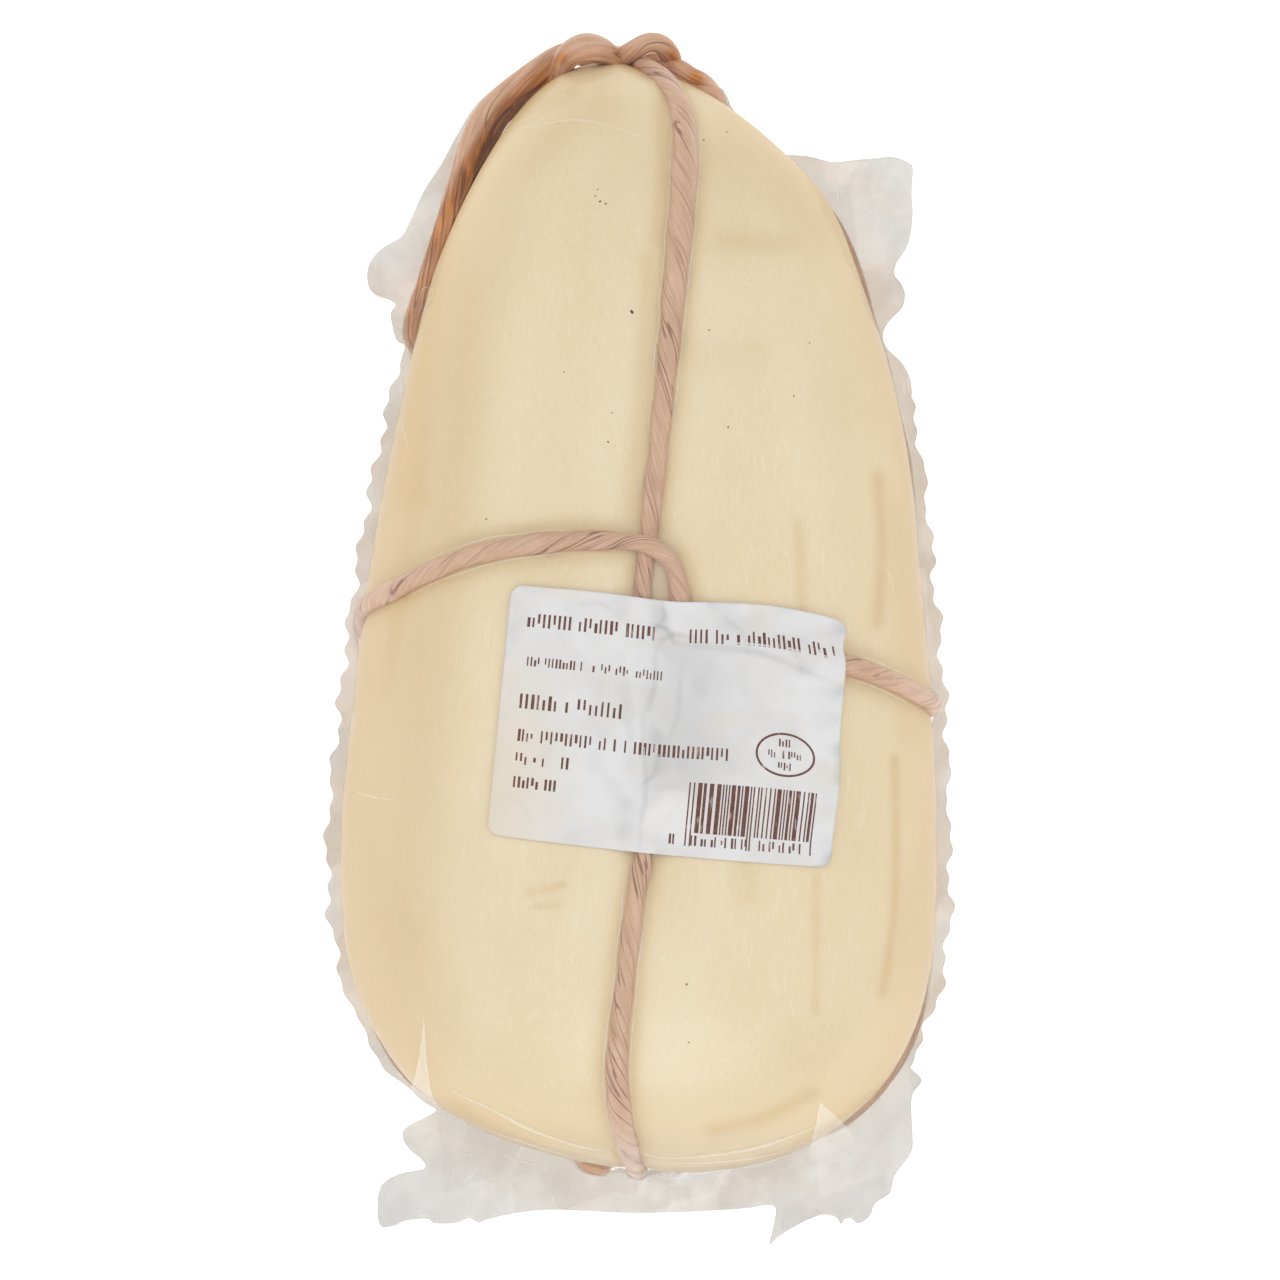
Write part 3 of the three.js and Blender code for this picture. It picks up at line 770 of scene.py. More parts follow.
def tied_route(places):
    """A tied cord's centre line, pressed into the cheese."""
    route = on_skin(smooth_route(places, CORD_STEP, True), 0)
    route[:, 2] = np.maximum(route[:, 2], WAIST_RADIUS + FLOOR_GAP - REST_HEIGHT)
    return route


def hanging_route(over_neck, side):
    """A strand of the hanging loop, free over the neck and pressed on to the cheese behind it."""
    behind = on_skin(np.array(LOOP_BEHIND) + (0, 0, LOOP_SPACING * side), LOOP_LIFT)
    route = smooth_route(np.concatenate([over_neck, behind]), CORD_STEP, True)
    pressed = on_skin(route, LOOP_LIFT)
    start = spine_point(route)
    sunk = np.linalg.norm(route - start, axis=1) < np.linalg.norm(pressed - start, axis=1)
    route[sunk] = pressed[sunk]
    return (np.roll(route, 1, 0) + 2 * route + np.roll(route, -1, 0)) / 4


def near(route, place, reach):
    """1 at a place on the route, down to 0 a few times reach mm away from it."""
    return bell(np.linalg.norm(route - place, axis=1), reach)


def creases(turn, lap, seed):
    """The folds in a strip of paper twisted into a cord: 0 on its smooth parts, up to 1 down in a fold."""
    draw = np.random.default_rng(seed)
    total = 0
    for place in np.arange(CREASES_ROUND) + draw.uniform(-0.45, 0.45, CREASES_ROUND):
        depth, phase = draw.uniform(0.4, 1), draw.uniform(0, 2 * np.pi)
        wander = 0.16 * np.sin(11 * lap + phase) + 0.06 * np.sin(29 * lap + 2 * phase)
        gap = np.angle(np.exp(1j * (turn - 2 * np.pi * place / CREASES_ROUND + wander)))
        fade = smoothstep(-0.3, 0.7, np.sin(17 * lap + 2.7 * phase) + 0.4 * np.sin(41 * lap + phase))
        total = np.maximum(total, depth * fade * bell(gap, CREASE_WIDTH))
    return total


def paper_cord(name, route, width, seed, paint, pitch, stain=None):
    """A cord of twisted paper: width is its radius along the route, pitch the length of one twist."""
    step = np.linalg.norm(np.roll(route, -1, 0) - route, axis=1)
    run = runs(step[:-1])[:, None]
    turn = full_turn(CORD_SIDES) + 0 * run
    lap = 2 * np.pi * run / step.sum() + 0 * turn
    fold = creases(turn, lap, seed)
    swell = 0.05 * np.sin(9 * lap + seed) + 0.03 * np.sin(31 * lap + 2 * seed)
    oval = 0.05 * np.cos(2 * turn)
    radius = np.reshape(width, (-1, 1)) * (1 + swell + oval - CREASE_DEPTH * fold)
    points = sweep(route, radius, round(step.sum() / pitch))
    faces = grid_faces(len(route), CORD_SIDES, True, True)
    fibre = np.stack([2 * np.cos(turn), 2 * np.sin(turn), FIBRE_STRETCH * run + 0 * turn], -1)
    oily = np.zeros(lap.shape) if stain is None else stain(points)
    attributes = {"crease": fold, "oily": oily, "fibre": fibre}
    new_piece(name, points, faces, paint, "cord_paper", True, attributes)
    return points.reshape(-1, 3), faces


def oil_stain(tree):
    """Paper drinks oil where it is pressed on to the cheese, so the hanging loop is dark on that side; the
    hollows between its strands get painted shade in the same brown.
    """
    def stain(points):
        gap = at_each(points, lambda p: tree.find_nearest(Vector(p))[3])
        mottle = 0.8 + 0.2 * waves(points, 9, 6, 5)
        x, y = points[..., 0], points[..., 1]
        over_neck = smoothstep(-21, -15, x) * smoothstep(108, 113, y)
        # Painted shade in the hollows between the strands.
        dark = sum(bell(np.hypot(x - a, y - b), r) for a, b, r in LOOP_HOLLOW_SHADES)
        strap_end = smoothstep(90, 68, y) * smoothstep(-20, -30, x)
        behind = 0.2 * smoothstep(-16, -20, points[..., 2])
        dry = np.maximum.reduce([0.6 * over_neck, 0.3 * strap_end, 0.7 * smoothstep(-104, -109, y), behind])
        return np.clip(0.14 + smoothstep(5.2, 3.0, gap) * mottle * (0.86 - dry) + 0.8 * dark, 0, 1)
    return stain


# Cheese

def streaked(p):
    """How strongly each point of the cheese is stained by the amber streaks, one of which is painted shade
    down its left flank.
    """
    total = np.zeros(p.shape[:-1])
    for places, width, strength in AMBER_STREAKS:
        gap = distance_to(as_seen(p), flat_line(places, 1.0))
        total = np.maximum(total, strength * bell(gap, width) * (p[..., 2] > 0))
    return total


def closed_ball(rows, columns, ends):
    """Faces of a grid that wraps round, closed by a point at either end: the points ends and ends + 1."""
    faces = grid_faces(rows, columns, False, True)
    last = (rows - 1) * columns
    for c in range(columns):
        d = (c + 1) % columns
        faces.append((ends, d, c))
        faces.append((ends + 1, last + c, last + d))
    return faces


def cheese(paint, tied):
    """The curd, grooved where the tied cords pull into it and flattened where it lies."""
    rows, columns = CHEESE_GRID
    polar = np.linspace(0, np.pi, rows + 2)[1:-1]
    around = even_angles(np.zeros(1), np.full(1, 2 * np.pi), columns + 1)[0, :-1]
    p = skin(*np.meshgrid(polar, around, indexing="ij"))
    outward = skin_normal(p)
    gap = distance_to(p, tied)
    groove = GROOVE_DEPTH * bell(gap, GROOVE_WIDTH)
    uneven = 0.22 * waves(p, 45, 10, 3) + 0.05 * waves(p * (1, 0.5, 1), 11, 10, 4)
    p = p + outward * (uneven - groove)[..., None]
    low = FLOOR_GAP - REST_HEIGHT
    p[..., 2] = low + np.logaddexp(0, (p[..., 2] - low) / 0.5) * 0.5
    # Painted shade: the flanks turn amber and darker where less light falls on them; partly the curd's
    # deeper colour where it is thick.
    edge = smoothstep(0.03, 0.8, 1 - np.abs(outward[..., 2])) * (0.8 - 0.3 * smoothstep(60, 95, p[..., 1]))
    patches = smoothstep(0.1, 1.3, waves(p * (1, 0.4, 1), 26, 8, 11))
    beside_cord = 0.3 * bell(gap - 3.0, 2.0)
    amber = 1 - (1 - streaked(p)) * (1 - edge) * (1 - 0.2 * patches) * (1 - beside_cord)
    ends = skin(np.array([0, np.pi]), np.array([0.0, 0.0]))
    points = np.concatenate([p.reshape(-1, 3), ends])
    faces = closed_ball(rows, columns, rows * columns)
    attributes = {"amber": np.concatenate([np.clip(amber, 0, 1).ravel(), (0.3, 0.3)])}
    new_piece("cheese", points, faces, paint, "cheese", True, attributes)
    return points, faces


def seen_from_above(place, tree):
    """What the camera sees at a place of the widest outline's plane: a point and its normal, or None."""
    start = Vector((0, 0, CAMERA_DISTANCE))
    hit = tree.ray_cast(start, (Vector((*place, 0)) - start).normalized())
    return None if hit[0] is None else (np.array(hit[0]), np.array(hit[1]))


def specks(paint, tree):
    """Small flat blobs with uneven edges, sunk a little into the curd."""
    draw = np.random.default_rng(23)
    turn = full_turn(SPECK_SIDES)
    faces = closed_ball(2, SPECK_SIDES, 2 * SPECK_SIDES)
    shapes = []
    for place, radius in SPECKS:
        middle, normal = seen_from_above(place, tree)
        right = unit(np.cross((0, 1, 0), normal))
        up = np.cross(normal, right)
        stretch = draw.uniform(0.6, 1.0)
        rim = radius * (1 + 0.25 * np.sin(2 * turn + draw.uniform(0, 6)) + 0.12 * np.sin(5 * turn))
        rim = rim[:, None] * (np.cos(turn)[:, None] * right + stretch * np.sin(turn)[:, None] * up)
        base, shoulder, top = (middle + rise * normal for rise in (-0.15, 0.04, 0.06))
        shapes.append((np.concatenate([base + rim, shoulder + 0.75 * rim, [base, top]]), faces))
    new_piece("specks", *joined(shapes), paint, "cheese")


# Film

def seam_angle(polar):
    """The angle at which the two sheets of film part, just below the widest outline."""
    half_depth = np.maximum(np.sin(polar) * along(GIRTH, np.cos(polar)) * BACK_DEPTH, 1e-3)
    sine = np.minimum(-SEAM_LEVEL / half_depth, 0.6)
    return -np.arcsin(sine ** (SQUARENESS / 2))


def clearance(base, outward, tree, reach):
    """How far what the film covers stands out of the cheese's plain form, along each outward direction."""
    start = base + outward * reach
    height = np.zeros(base.shape[:-1])
    for index in np.ndindex(*height.shape):
        hit = tree.ray_cast(Vector(start[index]), Vector(-outward[index]), 2 * reach)
        height[index] = NOTHING_UNDER if hit[0] is None else reach - hit[3]
    return height


def bridged(height, step):
    """Each height raised towards its highest neighbour by at most step, so that small dips are spanned."""
    beside = np.pad(height, 1, mode="edge")
    rows, columns = height.shape
    highest = height
    for i in range(3):
        for j in range(3):
            neighbour = beside[i:i + rows, j:j + columns]
            highest = np.maximum(highest, np.minimum(neighbour, height + step))
    return highest


def tightened(height, rounds):
    """A sheet over it: pulled flat wherever nothing holds it up."""
    taut = height.copy()
    for _ in range(rounds):
        beside = np.pad(taut, 1, mode="edge")
        mean = (beside[1:-1, :-2] + beside[1:-1, 2:]) / 4 + (beside[:-2, 1:-1] + beside[2:, 1:-1]) / 4
        taut = np.maximum(height, mean)
    return taut


def film_piece(name, points, faces, paint, haze, crumple=0.0, warm=0.0, pale=0.0):
    """A piece of film, with how milky, crumpled, brownish and pale it is at each point; the brownish tint
    is painted light from the cheese.
    """
    values = {"haze": haze, "crumple": crumple, "warm": warm, "pale": pale}
    attributes = {key: value + np.zeros(len(points)) for key, value in values.items()}
    return new_piece(name, points, faces, paint, "film", True, attributes)


def film_body(paint, tree, loop):
    """The bag where it clings to the cheese and the cord. Gives its points, its faces and its seam."""
    polar = np.linspace(0, np.pi, FILM_ROWS + 2)[1:-1]
    seam = seam_angle(polar)
    front = even_angles(seam, np.pi - seam, FRONT_COLUMNS)
    back = even_angles(np.pi - seam, 2 * np.pi + seam, BACK_COLUMNS)
    angles = np.concatenate([front[:, :-1], back[:, :-1]], 1)
    base = skin(polar[:, None] + 0 * angles, angles)
    outward = skin_normal(base)
    height = clearance(base, outward, tree, FILM_REACH)
    taut = tightened(bridged(height, FILM_BRIDGE), FILM_ROUNDS)
    gap = taut - height
    p = base + outward * (taut + FILM_GAP)[..., None]
    p[..., 2] = np.maximum(p[..., 2], FILM_FLOOR_GAP - REST_HEIGHT)
    columns = angles.shape[1]
    neck, foot = p[0].mean(0) + (0, 0.4, 0), p[-1].mean(0) - (0, 0.4, 0)
    points = np.concatenate([p.reshape(-1, 3), neck[None], foot[None]])
    faces = closed_ball(FILM_ROWS, columns, FILM_ROWS * columns)
    turned_away = smoothstep(0.42, 0.02, np.abs(outward[..., 2])) * smoothstep(100, 60, p[..., 1])
    haze = FILM_HAZE + 0.04 * smoothstep(0.3, 1.0, gap) + 0.05 * smoothstep(1.6, 3.5, gap)
    haze = haze + 0.28 * turned_away
    # Painted shade: the film over the pocket is made milky grey for the hollow under it.
    pocket = near(p.reshape(-1, 3), HITCH_POCKET, 3.0).reshape(gap.shape)
    haze = haze + 0.2 * smoothstep(*FOOT_RANGE, p[..., 1]) + 0.3 * pocket * smoothstep(0.5, 1.6, gap)
    haze = haze * (0.15 + 0.85 * smoothstep(4.8, 7, distance_to(p, loop)))
    haze = np.concatenate([haze.ravel(), (0.1, 0.1)])
    crumple = np.concatenate([turned_away.ravel(), (0, 0)]) / 4
    piece = film_piece("vacuum_film", points, faces, paint, haze, crumple)
    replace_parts(piece, "vacuum_pack")
    seam_line = np.concatenate([p[:, FRONT_COLUMNS - 1], foot[None], p[::-1, 0], neck[None]])
    return points, faces, seam_line


def flank(side, from_y, to_y):
    """The outer edge of the narrow, gathered margin along one side of the cheese."""
    count = int(abs(to_y - from_y) / 0.7)
    y = np.linspace(from_y, to_y, count)
    s = station(y)
    half = np.sqrt(np.maximum(1 - s * s, 0)) * along(GIRTH, s)
    ripple = 0.6 * (np.sin(0.41 * y) + 0.6 * np.sin(1.13 * y + 2 * side))
    ripple = ripple + 0.3 * waves(np.stack([y, 0 * y], 1), 3.2, 5, 20 + side)
    return np.stack([along(SWAY, s) + side * (half + FLANK_WIDTH + ripple), y], 1)


def inside(points, ring):
    """Which of the flat points lie inside a closed outline."""
    x, y = points.T
    found = np.zeros(len(points), bool)
    for (x0, y0), (x1, y1) in zip(ring, np.roll(ring, -1, 0)):
        if y0 != y1:
            crossing = (y0 > y) != (y1 > y)
            found ^= crossing & (x < x0 + (y - y0) / (y1 - y0) * (x1 - x0))
    return found


def margin_rings(seam_line):
    """The margin's outer edge, and its inner edge, which is tucked into the seam."""
    flat = seam_line[:, :2]
    outward = unit(flat - spine_point(seam_line)[:, :2])
    inner = (flat - outward * SEAM_TUCK)[::2]
    over_neck = (flat + outward * 0.5)[(seam_line[:, 1] > 104) & (flat[:, 0] > -25) & (flat[:, 0] < 29)]
    over_neck = over_neck[np.argsort(-over_neck[:, 0])]
    edge = np.concatenate([
        NECK_CORNER_LEFT, flank(-1, *LEFT_FLANK), FOOT_CORNERS, flank(1, *RIGHT_FLANK), NECK_CORNER_RIGHT,
    ])
    outer = np.concatenate([flat_line(edge, 0.6), over_neck[::2]])
    nearest = nearest_on(flat, outer)
    beyond = np.einsum("ij,ij->i", outer - flat[nearest], outward[nearest])
    outer = outer + outward[nearest] * np.maximum(NARROWEST_MARGIN - beyond, 0)[:, None]
    return outer, inner


def filled_between(outer, inner, step):
    """Flat points and triangles that fill the band between two closed outlines."""
    x, y = (np.arange(-reach, reach, gap) for reach, gap in zip(MARGIN_REACH, (step, step * 0.87)))
    x, y = np.meshgrid(x, y)
    x = x + step / 2 * (np.arange(len(x)) % 2)[:, None]
    grid = np.stack([x.ravel(), y.ravel()], 1)
    grid = grid + np.random.default_rng(7).uniform(-0.12, 0.12, grid.shape)
    grid = grid[inside(grid, outer) & ~inside(grid, inner)]
    rings = np.concatenate([outer, inner])
    grid = grid[distance_to(grid, rings) > 0.4]
    ends = [(i, (i + 1) % len(outer)) for i in range(len(outer))]
    ends += [(len(outer) + i, len(outer) + (i + 1) % len(inner)) for i in range(len(inner))]
    placed = [Vector(q) for q in np.concatenate([rings, grid])]
    found, _, triangles, _, _, _ = delaunay_2d_cdt(placed, ends, [], 0, 1e-5)
    flat, triangles = np.array(found), np.array(triangles)
    middle = flat[triangles].mean(1)
    triangles = triangles[inside(middle, outer) & ~inside(middle, inner)]
    used, triangles = np.unique(triangles, return_inverse=True)
    flat, triangles = flat[used], triangles.reshape(-1, 3)
    a, b, c = (flat[triangles[:, k]] for k in range(3))
    turned = np.cross(b - a, c - a) < 0
    triangles[turned] = triangles[turned][:, ::-1]
    return flat, triangles


def film_margin(paint, seam_line, contents):
    """The welded margin: two sheets of film in crumpled facets, joined along their edges."""
    flat, triangles = filled_between(*margin_rings(seam_line), MARGIN_STEP)
    nearest = nearest_on(seam_line[:, :2], flat)
    beyond = np.linalg.norm(flat - seam_line[nearest, :2], axis=1)
    level = SEAM_LEVEL + (seam_line[nearest, 2] - SEAM_LEVEL) * np.exp(-beyond / 4)
    crumple = 0.8 * folds(flat, 21, 5, 31) + 0.2 * folds(flat, 7, 6, 32) + 0.04 * folds(flat, 2.6, 6, 33)
    rise = level + smoothstep(0, 9, beyond) * crumple - 0.1 * beyond
    points = np.concatenate([np.column_stack([flat, rise + side * MARGIN_HALF]) for side in (1, -1)])
    count = len(flat)
    faces = triangles.tolist() + (triangles[:, ::-1] + count).tolist()
    sides = np.concatenate([triangles[:, [0, 1]], triangles[:, [1, 2]], triangles[:, [2, 0]]])
    known = {tuple(side) for side in sides.tolist()}
    faces += [(a, a + count, b + count, b) for a, b in known if (b, a) not in known]
    seen = as_seen(np.column_stack([flat, np.full(count, SEAM_LEVEL)]))
    found = [seen_from_above(q, contents) for q in seen]
    over_cord = np.array([hit is not None and hit[0][2] < SEAM_LEVEL - 1.5 for hit in found])
    bare = np.array([hit is None for hit in found])
    clear = smoothstep(2.5, 1.5, distance_to(flat, flat[over_cord]))
    clear = 0.9 * clear * smoothstep(0.4, 1.1, distance_to(flat, flat[bare]))
    facet = smoothstep(-0.06, 0.06, folds(flat, 30, 3, 37))
    lower_left = smoothstep(-98, -110, flat[:, 1]) * smoothstep(-20, -45, flat[:, 0])
    haze = (MARGIN_HAZE + 0.045 * facet + 0.02 * folds(flat, 11, 5, 35) + 0.06 * lower_left) * (1 - clear)
    # Painted light: the margin turns warm beige near the cheese, as if lit through and by the curd.
    warm = 0.85 * smoothstep(17, 3, beyond) * smoothstep(-0.1, 0.12, folds(flat, 26, 3, 38))
    warm = warm * (1 - 0.6 * smoothstep(*FOOT_RANGE, flat[:, 1]))
    warm = np.maximum(warm, 0.6 * smoothstep(3.4, 0.4, beyond) * smoothstep(-108, -94, flat[:, 1]))
    film_piece("film_margin", points, faces, paint, np.tile(haze, 2), 1.0, np.tile(warm, 2))
    return points, faces


def beside(route, offset):
    """A line offset mm to the right of a cord as seen from above, as the camera sees it."""
    flat = as_seen(route)
    tangent = unit(np.gradient(flat, axis=0))
    side = np.column_stack([tangent[:, 1], -tangent[:, 0]])
    return flat + side * offset[:, None]


def tent_lines(strand, waist):
    """Where the film leaves the tied cords on either side, in stretches that come and go."""
    lines = []
    for route, axis, low, high in (
        (strand, 1, 36, 108), (strand, 1, -104, -50), (waist, 0, -50, -8), (waist, 0, 43.5, 57),
    ):
        shown = route[(route[:, 2] > 4) & (route[:, axis] > low) & (route[:, axis] < high)]
        if axis == 0:
            shown = shown[shown[:, 1] < 21]
        for side in (-1, 1):
            half = along(STRAND_WIDTH, shown[:, 1]) if axis == 1 else np.full(len(shown), WAIST_RADIUS)
            wander = 0.22 * waves(shown, 14, 5, 50 + side) + 0.1 * waves(shown, 4, 5, 52 + side)
            lines.append(beside(shown, side * (half + TENT_OFFSET + wander)))
    return lines


# A fold's section: across and up, and how milky the film is there; its pale, milky crest is partly painted
# highlight. It is clear underneath.
RIDGE_SECTION = (
    (0, 1, 0.32), (0.5, 0.75, 0.2), (1, -0.2, 0.02), (0, -0.35, 0), (-1, -0.2, 0.02), (-0.5, 0.75, 0.2),
)


def ridge(places, width, tree):
    """A thin fold that stands out of the film along a line and tapers to nothing, as points and faces."""
    found = [seen_from_above(q, tree) for q in flat_line(places, 0.55)]
    ground, normal = np.array([hit for hit in found if hit is not None]).transpose(1, 0, 2)
    for line in (ground, normal, ground, normal):
        line[1:-1] = (line[:-2] + 2 * line[1:-1] + line[2:]) / 4
    normal = unit(normal)
    side = unit(np.cross(np.gradient(ground, axis=0), normal))
    share = np.linspace(0, 1, len(ground))
    swell = np.sin(np.pi * share) ** 0.6 * (1 + 0.35 * waves(ground, 7, 5, 61)) + 0.02
    half, rise = width / 2 * swell, 0.2 * width * swell
    points = np.stack([
        ground + side * (half * across)[:, None] + normal * (rise * up)[:, None]
        for across, up, _ in RIDGE_SECTION
    ], 1)
    sides = len(RIDGE_SECTION)
    last = (len(ground) - 1) * sides
    faces = grid_faces(len(ground), sides, False, True)
    faces += [list(range(sides))[::-1], list(range(last, last + sides))]
    return points.reshape(-1, 3), faces


def film_folds(paint, tree, strand, waist):
    """Thin folds in the film: over the foot and the margin, and along the tied cords, with pale crests that
    are partly painted highlight.
    """
    shapes = [ridge(places, width, tree) for places, width in FILM_FOLDS]
    shapes += [ridge(line[::4], TENT_WIDTH, tree) for line in tent_lines(strand, waist)]
    points, faces = joined(shapes)
    milky = np.tile([haze for _, _, haze in RIDGE_SECTION], len(points) // len(RIDGE_SECTION))
    film_piece("film_folds", points, faces, paint, milky, pale=1.0)


def film_webs(paint, tree):
    """Webs of film that stand off the cheese's edge, each from a narrow tip down to the margin."""
    shapes, milky = [], []
    across = np.linspace(0, 1, WEB_COLUMNS)[:, None]
    down = np.linspace(0, 1, WEB_ROWS)[:, None]

    def level_under(place):
        hit = seen_from_above(place, tree)
        return SEAM_LEVEL if hit is None else hit[0][2]

    for edges in FILM_WEBS:
        lines = [flat_line(edge, 0.1) for edge in edges]
        left, right = (line[np.linspace(0, len(line) - 1, WEB_ROWS).astype(int)][:, None] for line in lines)
        places = left * (1 - across) + right * across + (across - 0.5) * (0.05, 0)
        ground = at_each(places, level_under)
        high = ground[0].mean()
        level = np.maximum(ground + 0.2, high + (ground[-1].mean() + 0.4 - high) * down)
        scale = (CAMERA_DISTANCE - level[..., None]) / CAMERA_DISTANCE
        upper = np.concatenate([places * scale, level[..., None]], -1)
        shapes.append(slab(upper, upper - (0, 0, WEB_THICKNESS)))
        haze = (0.24 + 0.1 * np.abs(2 * across.T - 1) ** 3) * smoothstep(1.05, 0.6, down)
        milky += [haze.ravel(), 0 * haze.ravel()]
    film_piece("film_webs", *joined(shapes), paint, np.concatenate(milky), pale=1.0)


# Label

def on_label(u, v):
    """A point of the label as seen from above, u mm across from its left and v mm down from its top."""
    a, b = u / LABEL_SIZE[0], v / LABEL_SIZE[1]
    upper_left, upper_right, lower_right, lower_left = (np.array(c) for c in LABEL_CORNERS)
    top = upper_left + (upper_right - upper_left) * a[..., None]
    bottom = lower_left + (lower_right - lower_left) * a[..., None]
    place = top + (bottom - top) * b[..., None]
    place[..., 1] += along(LABEL_TOP, a) * (1 - b) - 0.5 * np.sin(np.pi * a) * b
    place[..., 0] += along(LABEL_RIGHT, b) * a**3
    return place


def crease_height(u, v):
    """How far the label's paper stands up in its creases."""
    places = np.stack([u, v], -1)
    total = 0
    for start, end, height, width in LABEL_CREASES:
        start, end = np.array(start, float), np.array(end, float)
        share = np.clip((places - start) @ (end - start) / np.sum((end - start) ** 2), 0, 1)
        across = unit(np.array([start[1] - end[1], end[0] - start[0]]))
        bend = 0.5 * np.sin(7 * share + 3 * height)[..., None] * across
        gap = np.linalg.norm(places - start - (end - start) * share[..., None] - bend, axis=-1)
        total = total + height * np.sin(np.pi * (0.08 + 0.84 * share)) * bell(gap, width)
    return total


def label_heights(tree):
    """How high the label lies on the film, as a grid over it, and where it stands off."""
    across, down = LABEL_GRID
    u, v = np.meshgrid(np.linspace(0, LABEL_SIZE[0], across), np.linspace(0, LABEL_SIZE[1], down))
    down_ray = Vector((0, 0, -1))
    lying = at_each(on_label(u, v), lambda place: tree.ray_cast(Vector((*place, 80)), down_ray)[0][2])
    taut = tightened(bridged(lying, LABEL_BRIDGE), LABEL_ROUNDS)
    crumple = folds(np.stack([u, v], -1), 7, 5, 41) * 0.13 + folds(np.stack([u, v], -1), 3, 5, 42) * 0.06
    loose = smoothstep(0.05, 0.8, taut - lying)
    return taut + 0.1 + crumple * (0.3 + loose) + crease_height(u, v), loose


def label_surface(levels):
    """A function that gives a point on the label's face, or rise mm above it."""
    def point(u, v, rise):
        across, down = LABEL_GRID
        i = np.clip(v / LABEL_SIZE[1] * (down - 1), 0, down - 1.001)
        j = np.clip(u / LABEL_SIZE[0] * (across - 1), 0, across - 1.001)
        i0, j0 = i.astype(int), j.astype(int)
        fi, fj = i - i0, j - j0
        low = levels[i0, j0] * (1 - fj) + levels[i0, j0 + 1] * fj
        high = levels[i0 + 1, j0] * (1 - fj) + levels[i0 + 1, j0 + 1] * fj
        z = low * (1 - fi) + high * fi
        return np.concatenate([on_label(u, v), (z + LABEL_THICKNESS + rise)[..., None]], -1)
    return point


def rounded(t, half, corner):
    """How far in the edge of a rounded rectangle is, t mm from the middle of its side."""
    beyond = np.maximum(np.abs(t) - (half - corner), 0)
    return corner - np.sqrt(np.maximum(corner**2 - beyond**2, 0))


def label_sheet(paint, point, loose):
    across, down = LABEL_GRID
    width, height = LABEL_SIZE
    v = np.linspace(0, height, down)
    inset = rounded(v - height / 2, height / 2, LABEL_ROUND)[:, None]
    share = np.linspace(0, 1, across)[None]
    u = inset + (width - 2 * inset) * share
    v = v[:, None] + 0 * u
    upper = point(u, v, 0)
    points, faces = slab(upper, upper - (0, 0, LABEL_THICKNESS))
    flat = np.stack([u, v], -1)
    damp = bell(u - 38, 9) * smoothstep(4, 12, v) * smoothstep(52, 30, v)
    thin = 0.5 * loose * smoothstep(-0.2, 0.8, waves(flat, 9, 6, 43)) + 0.3 * damp
    thin = thin + 0.12 * smoothstep(0.2, 1.2, waves(flat, 9, 6, 44)) + 0.9 * crease_height(u, v)
    dry = smoothstep(7, 3.5, np.hypot(u - 36, v - 43) + waves(flat, 6, 5, 46))
    thin = (0.24 + thin) * (1 - 0.7 * dry)
    oily = 0.8 * smoothstep(20, 0, u) * smoothstep(8, 36, v)
    oily = oily + 0.3 * smoothstep(0.4, 1.3, waves(flat, 13, 6, 45))
    values = {"thin": thin, "oily": oily}
    attributes = {key: np.clip(np.tile(value.ravel(), 2), 0, 1) for key, value in values.items()}
    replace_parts(new_piece("label_sheet", points, faces, paint, "label_paper", True, attributes), "label")


def printed_bar(point, u0, v0, u1, v1):
    """A small filled rectangle of print."""
    columns, rows = (max(int(length / PRINT_CELL) + 1, 2) for length in (u1 - u0, v1 - v0))
    u, v = np.meshgrid(np.linspace(u0, u1, columns), np.linspace(v0, v1, rows))
    return slab(point(u, v, PRINT_RISE), point(u, v, -PRINT_DEPTH))


def printed_ring(point, u, v, half_width, half_height, line):
    """An oval ring of print round (u, v)."""
    turn = full_turn(RING_STEPS)[:, None]
    inward = np.array([0, line, line, 0])
    across, down = (half_width - inward) * np.cos(turn), (half_height - inward) * np.sin(turn)
    points = point(u + across, v + down, np.array([PRINT_RISE, PRINT_RISE, -PRINT_DEPTH, -PRINT_DEPTH]))
    return points.reshape(-1, 3), grid_faces(RING_STEPS, 4, True, True)


def word_blocks(u, v, tall, length, draw):
    """The plain blocks that stand for one word, as left, top, right and bottom."""
    count = max(int(round(length / (0.39 * tall))), 1)
    pitch = length / count
    blocks = []
    for k in range(count):
        width = tall * draw.choice([0.14, 0.17, 0.22])
        top, bottom = draw.choice([0.0, 0.0, 0.0, 0.3]), draw.choice([1.0, 1.0, 1.0, 0.7])
        if draw.uniform() < 0.88:
            blocks.append((u + k * pitch, v + top * tall, u + k * pitch + width, v + bottom * tall))
    return blocks


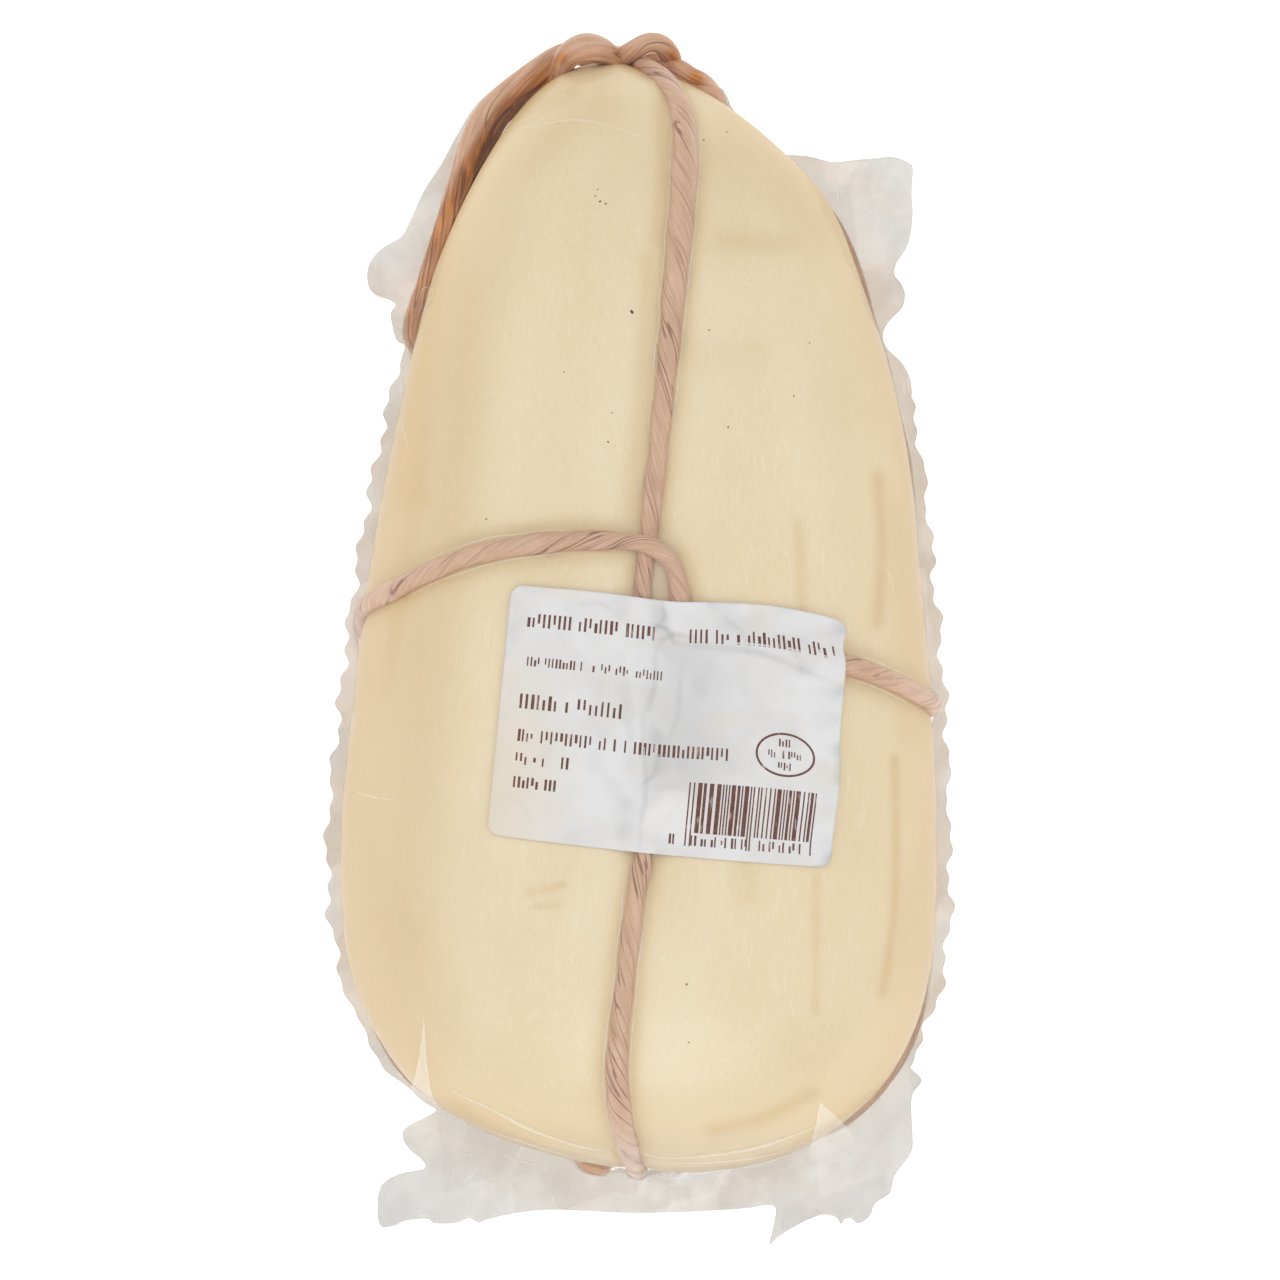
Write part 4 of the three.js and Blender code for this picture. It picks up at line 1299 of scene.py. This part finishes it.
def label_print(paint, point):
    """Plain blocks for the rows of print, a strip of bars over blocks, and an oval with blocks in it."""
    draw = np.random.default_rng(17)
    blocks = []
    for u, v, tall, lengths in PRINT_ROWS:
        for length in lengths:
            blocks += word_blocks(u, v, tall, length, draw)
            u += length + WORD_GAP
    blocks += [b for u in FIGURES for b in word_blocks(u, STRIP["bottom"] + 0.5, 2.0, 1.4, draw)]
    for row, half in ((-2.3, 1.3), (0, 3.4), (2.3, 1.4)):
        blocks += word_blocks(OVAL["u"] - half, OVAL["v"] + row - 0.75, 1.5, 2 * half, draw)
    blocks = [b for b in blocks if math.dist(((b[0] + b[2]) / 2, (b[1] + b[3]) / 2), SCUFF) > SCUFF_RADIUS]
    u = STRIP["left"]
    marks = (STRIP["left"], (STRIP["left"] + STRIP["right"]) / 2, STRIP["right"])
    while u < STRIP["right"]:
        guard = min(abs(u - mark) for mark in marks) < GUARD_REACH
        width = 0.28 if guard else draw.choice([0.28, 0.28, 0.56, 0.84])
        blocks.append((u, STRIP["top"], u + width, STRIP["guard"] if guard else STRIP["bottom"]))
        u += width + draw.choice([0.3, 0.3, 0.6])
    shapes = [printed_bar(point, *b) for b in blocks]
    shapes.append(printed_ring(point, **OVAL))
    new_piece("label_print", *joined(shapes), paint, "label_print", False)


# Scene

def camera(scene):
    """The photograph looks straight down from well above."""
    data = bpy.data.cameras.new("camera")
    data.sensor_width = 36.0
    data.lens = data.sensor_width * CAMERA_DISTANCE / FRAME_WIDTH
    data.clip_end = 20
    scene.camera = new_object("camera", data)
    scene.camera.location = (0, 0, (CAMERA_DISTANCE + REST_HEIGHT) * MM)


def lights(scene):
    world = bpy.data.worlds.new("studio")
    world.use_nodes = True
    background = world.node_tree.nodes["Background"]
    background.inputs["Color"].default_value = (1, 1, 1, 1)
    background.inputs["Strength"].default_value = WORLD_LIGHT
    scene.world = world
    for name, place, size, power in LAMPS:
        data = bpy.data.lights.new(name, "AREA")
        data.size = size
        data.energy = power
        made = new_object(name, data)
        made.location = place
        made.rotation_euler = (-Vector(place)).to_track_quat("-Z", "Y").to_euler()


def floor(paint):
    mesh = bpy.data.meshes.new("floor")
    corners = [(x * FLOOR_HALF, y * FLOOR_HALF, 0) for x, y in ((-1, -1), (1, -1), (1, 1), (-1, 1))]
    mesh.from_pydata(corners, [], [(0, 1, 2, 3)])
    mesh.materials.append(paint)
    made = new_object("floor", mesh)
    made.location.z = -0.0002


studio = bpy.context.scene
studio.view_settings.view_transform = "Standard"
camera(studio)
lights(studio)
floor(floor_material())

# The cords' centre lines come first, because the cheese is grooved and the film is stretched over them.
strand_route = tied_route(FRONT_STRAND + BACK_STRAND)
waist_route = tied_route(FRONT_WAIST + BACK_WAIST)
waist_route[:, 2] += HITCH_RISE * near(waist_route, HITCH, 5.0)
outer_route = hanging_route(OUTER_STRAND, 1)
inner_route = hanging_route(INNER_STRAND, -1)
strap = smoothstep(55, 75, outer_route[:, 1]) * smoothstep(-15, -22, outer_route[:, 0])
strand_width = along(STRAND_WIDTH, strand_route[:, 1])
waist_width = WAIST_RADIUS - 0.15 * near(waist_route, HITCH, 14.0)
outer_width = LOOP_RADIUS + 0.35 * strap
inner_width = LOOP_RADIUS + sum(0.7 * near(inner_route, turn, 4.5) for turn in FAT_TURNS)

curd_shape = cheese(cheese_material(), np.concatenate([strand_route, waist_route]))
curd_tree = joined_tree([curd_shape])
specks(speck_material(), curd_tree)
stain = oil_stain(curd_tree)
paper = cord_material()
obstacles = [
    curd_shape,
    paper_cord("cord_lengthwise", strand_route, strand_width, 1, paper, TIED_PITCH),
    paper_cord("cord_waist", waist_route, waist_width, 2, paper, TIED_PITCH),
    paper_cord("hanging_loop_outer", outer_route, outer_width, 3, paper, LOOP_PITCH, stain),
    paper_cord("hanging_loop_inner", inner_route, inner_width, 4, paper, LOOP_PITCH, stain),
]

film_paint = film_material()
loop_line = np.concatenate([outer_route, inner_route])[::3]
contents = joined_tree(obstacles)
body_points, body_faces, seam_line = film_body(film_paint, contents, loop_line)
film_tree = joined_tree([(body_points, body_faces), film_margin(film_paint, seam_line, contents)])
film_folds(film_paint, film_tree, strand_route, waist_route)
film_webs(film_paint, film_tree)

label_levels, label_loose = label_heights(film_tree)
label_point = label_surface(label_levels)
label_sheet(label_material(), label_point, label_loose)
label_print(print_material(), label_point)
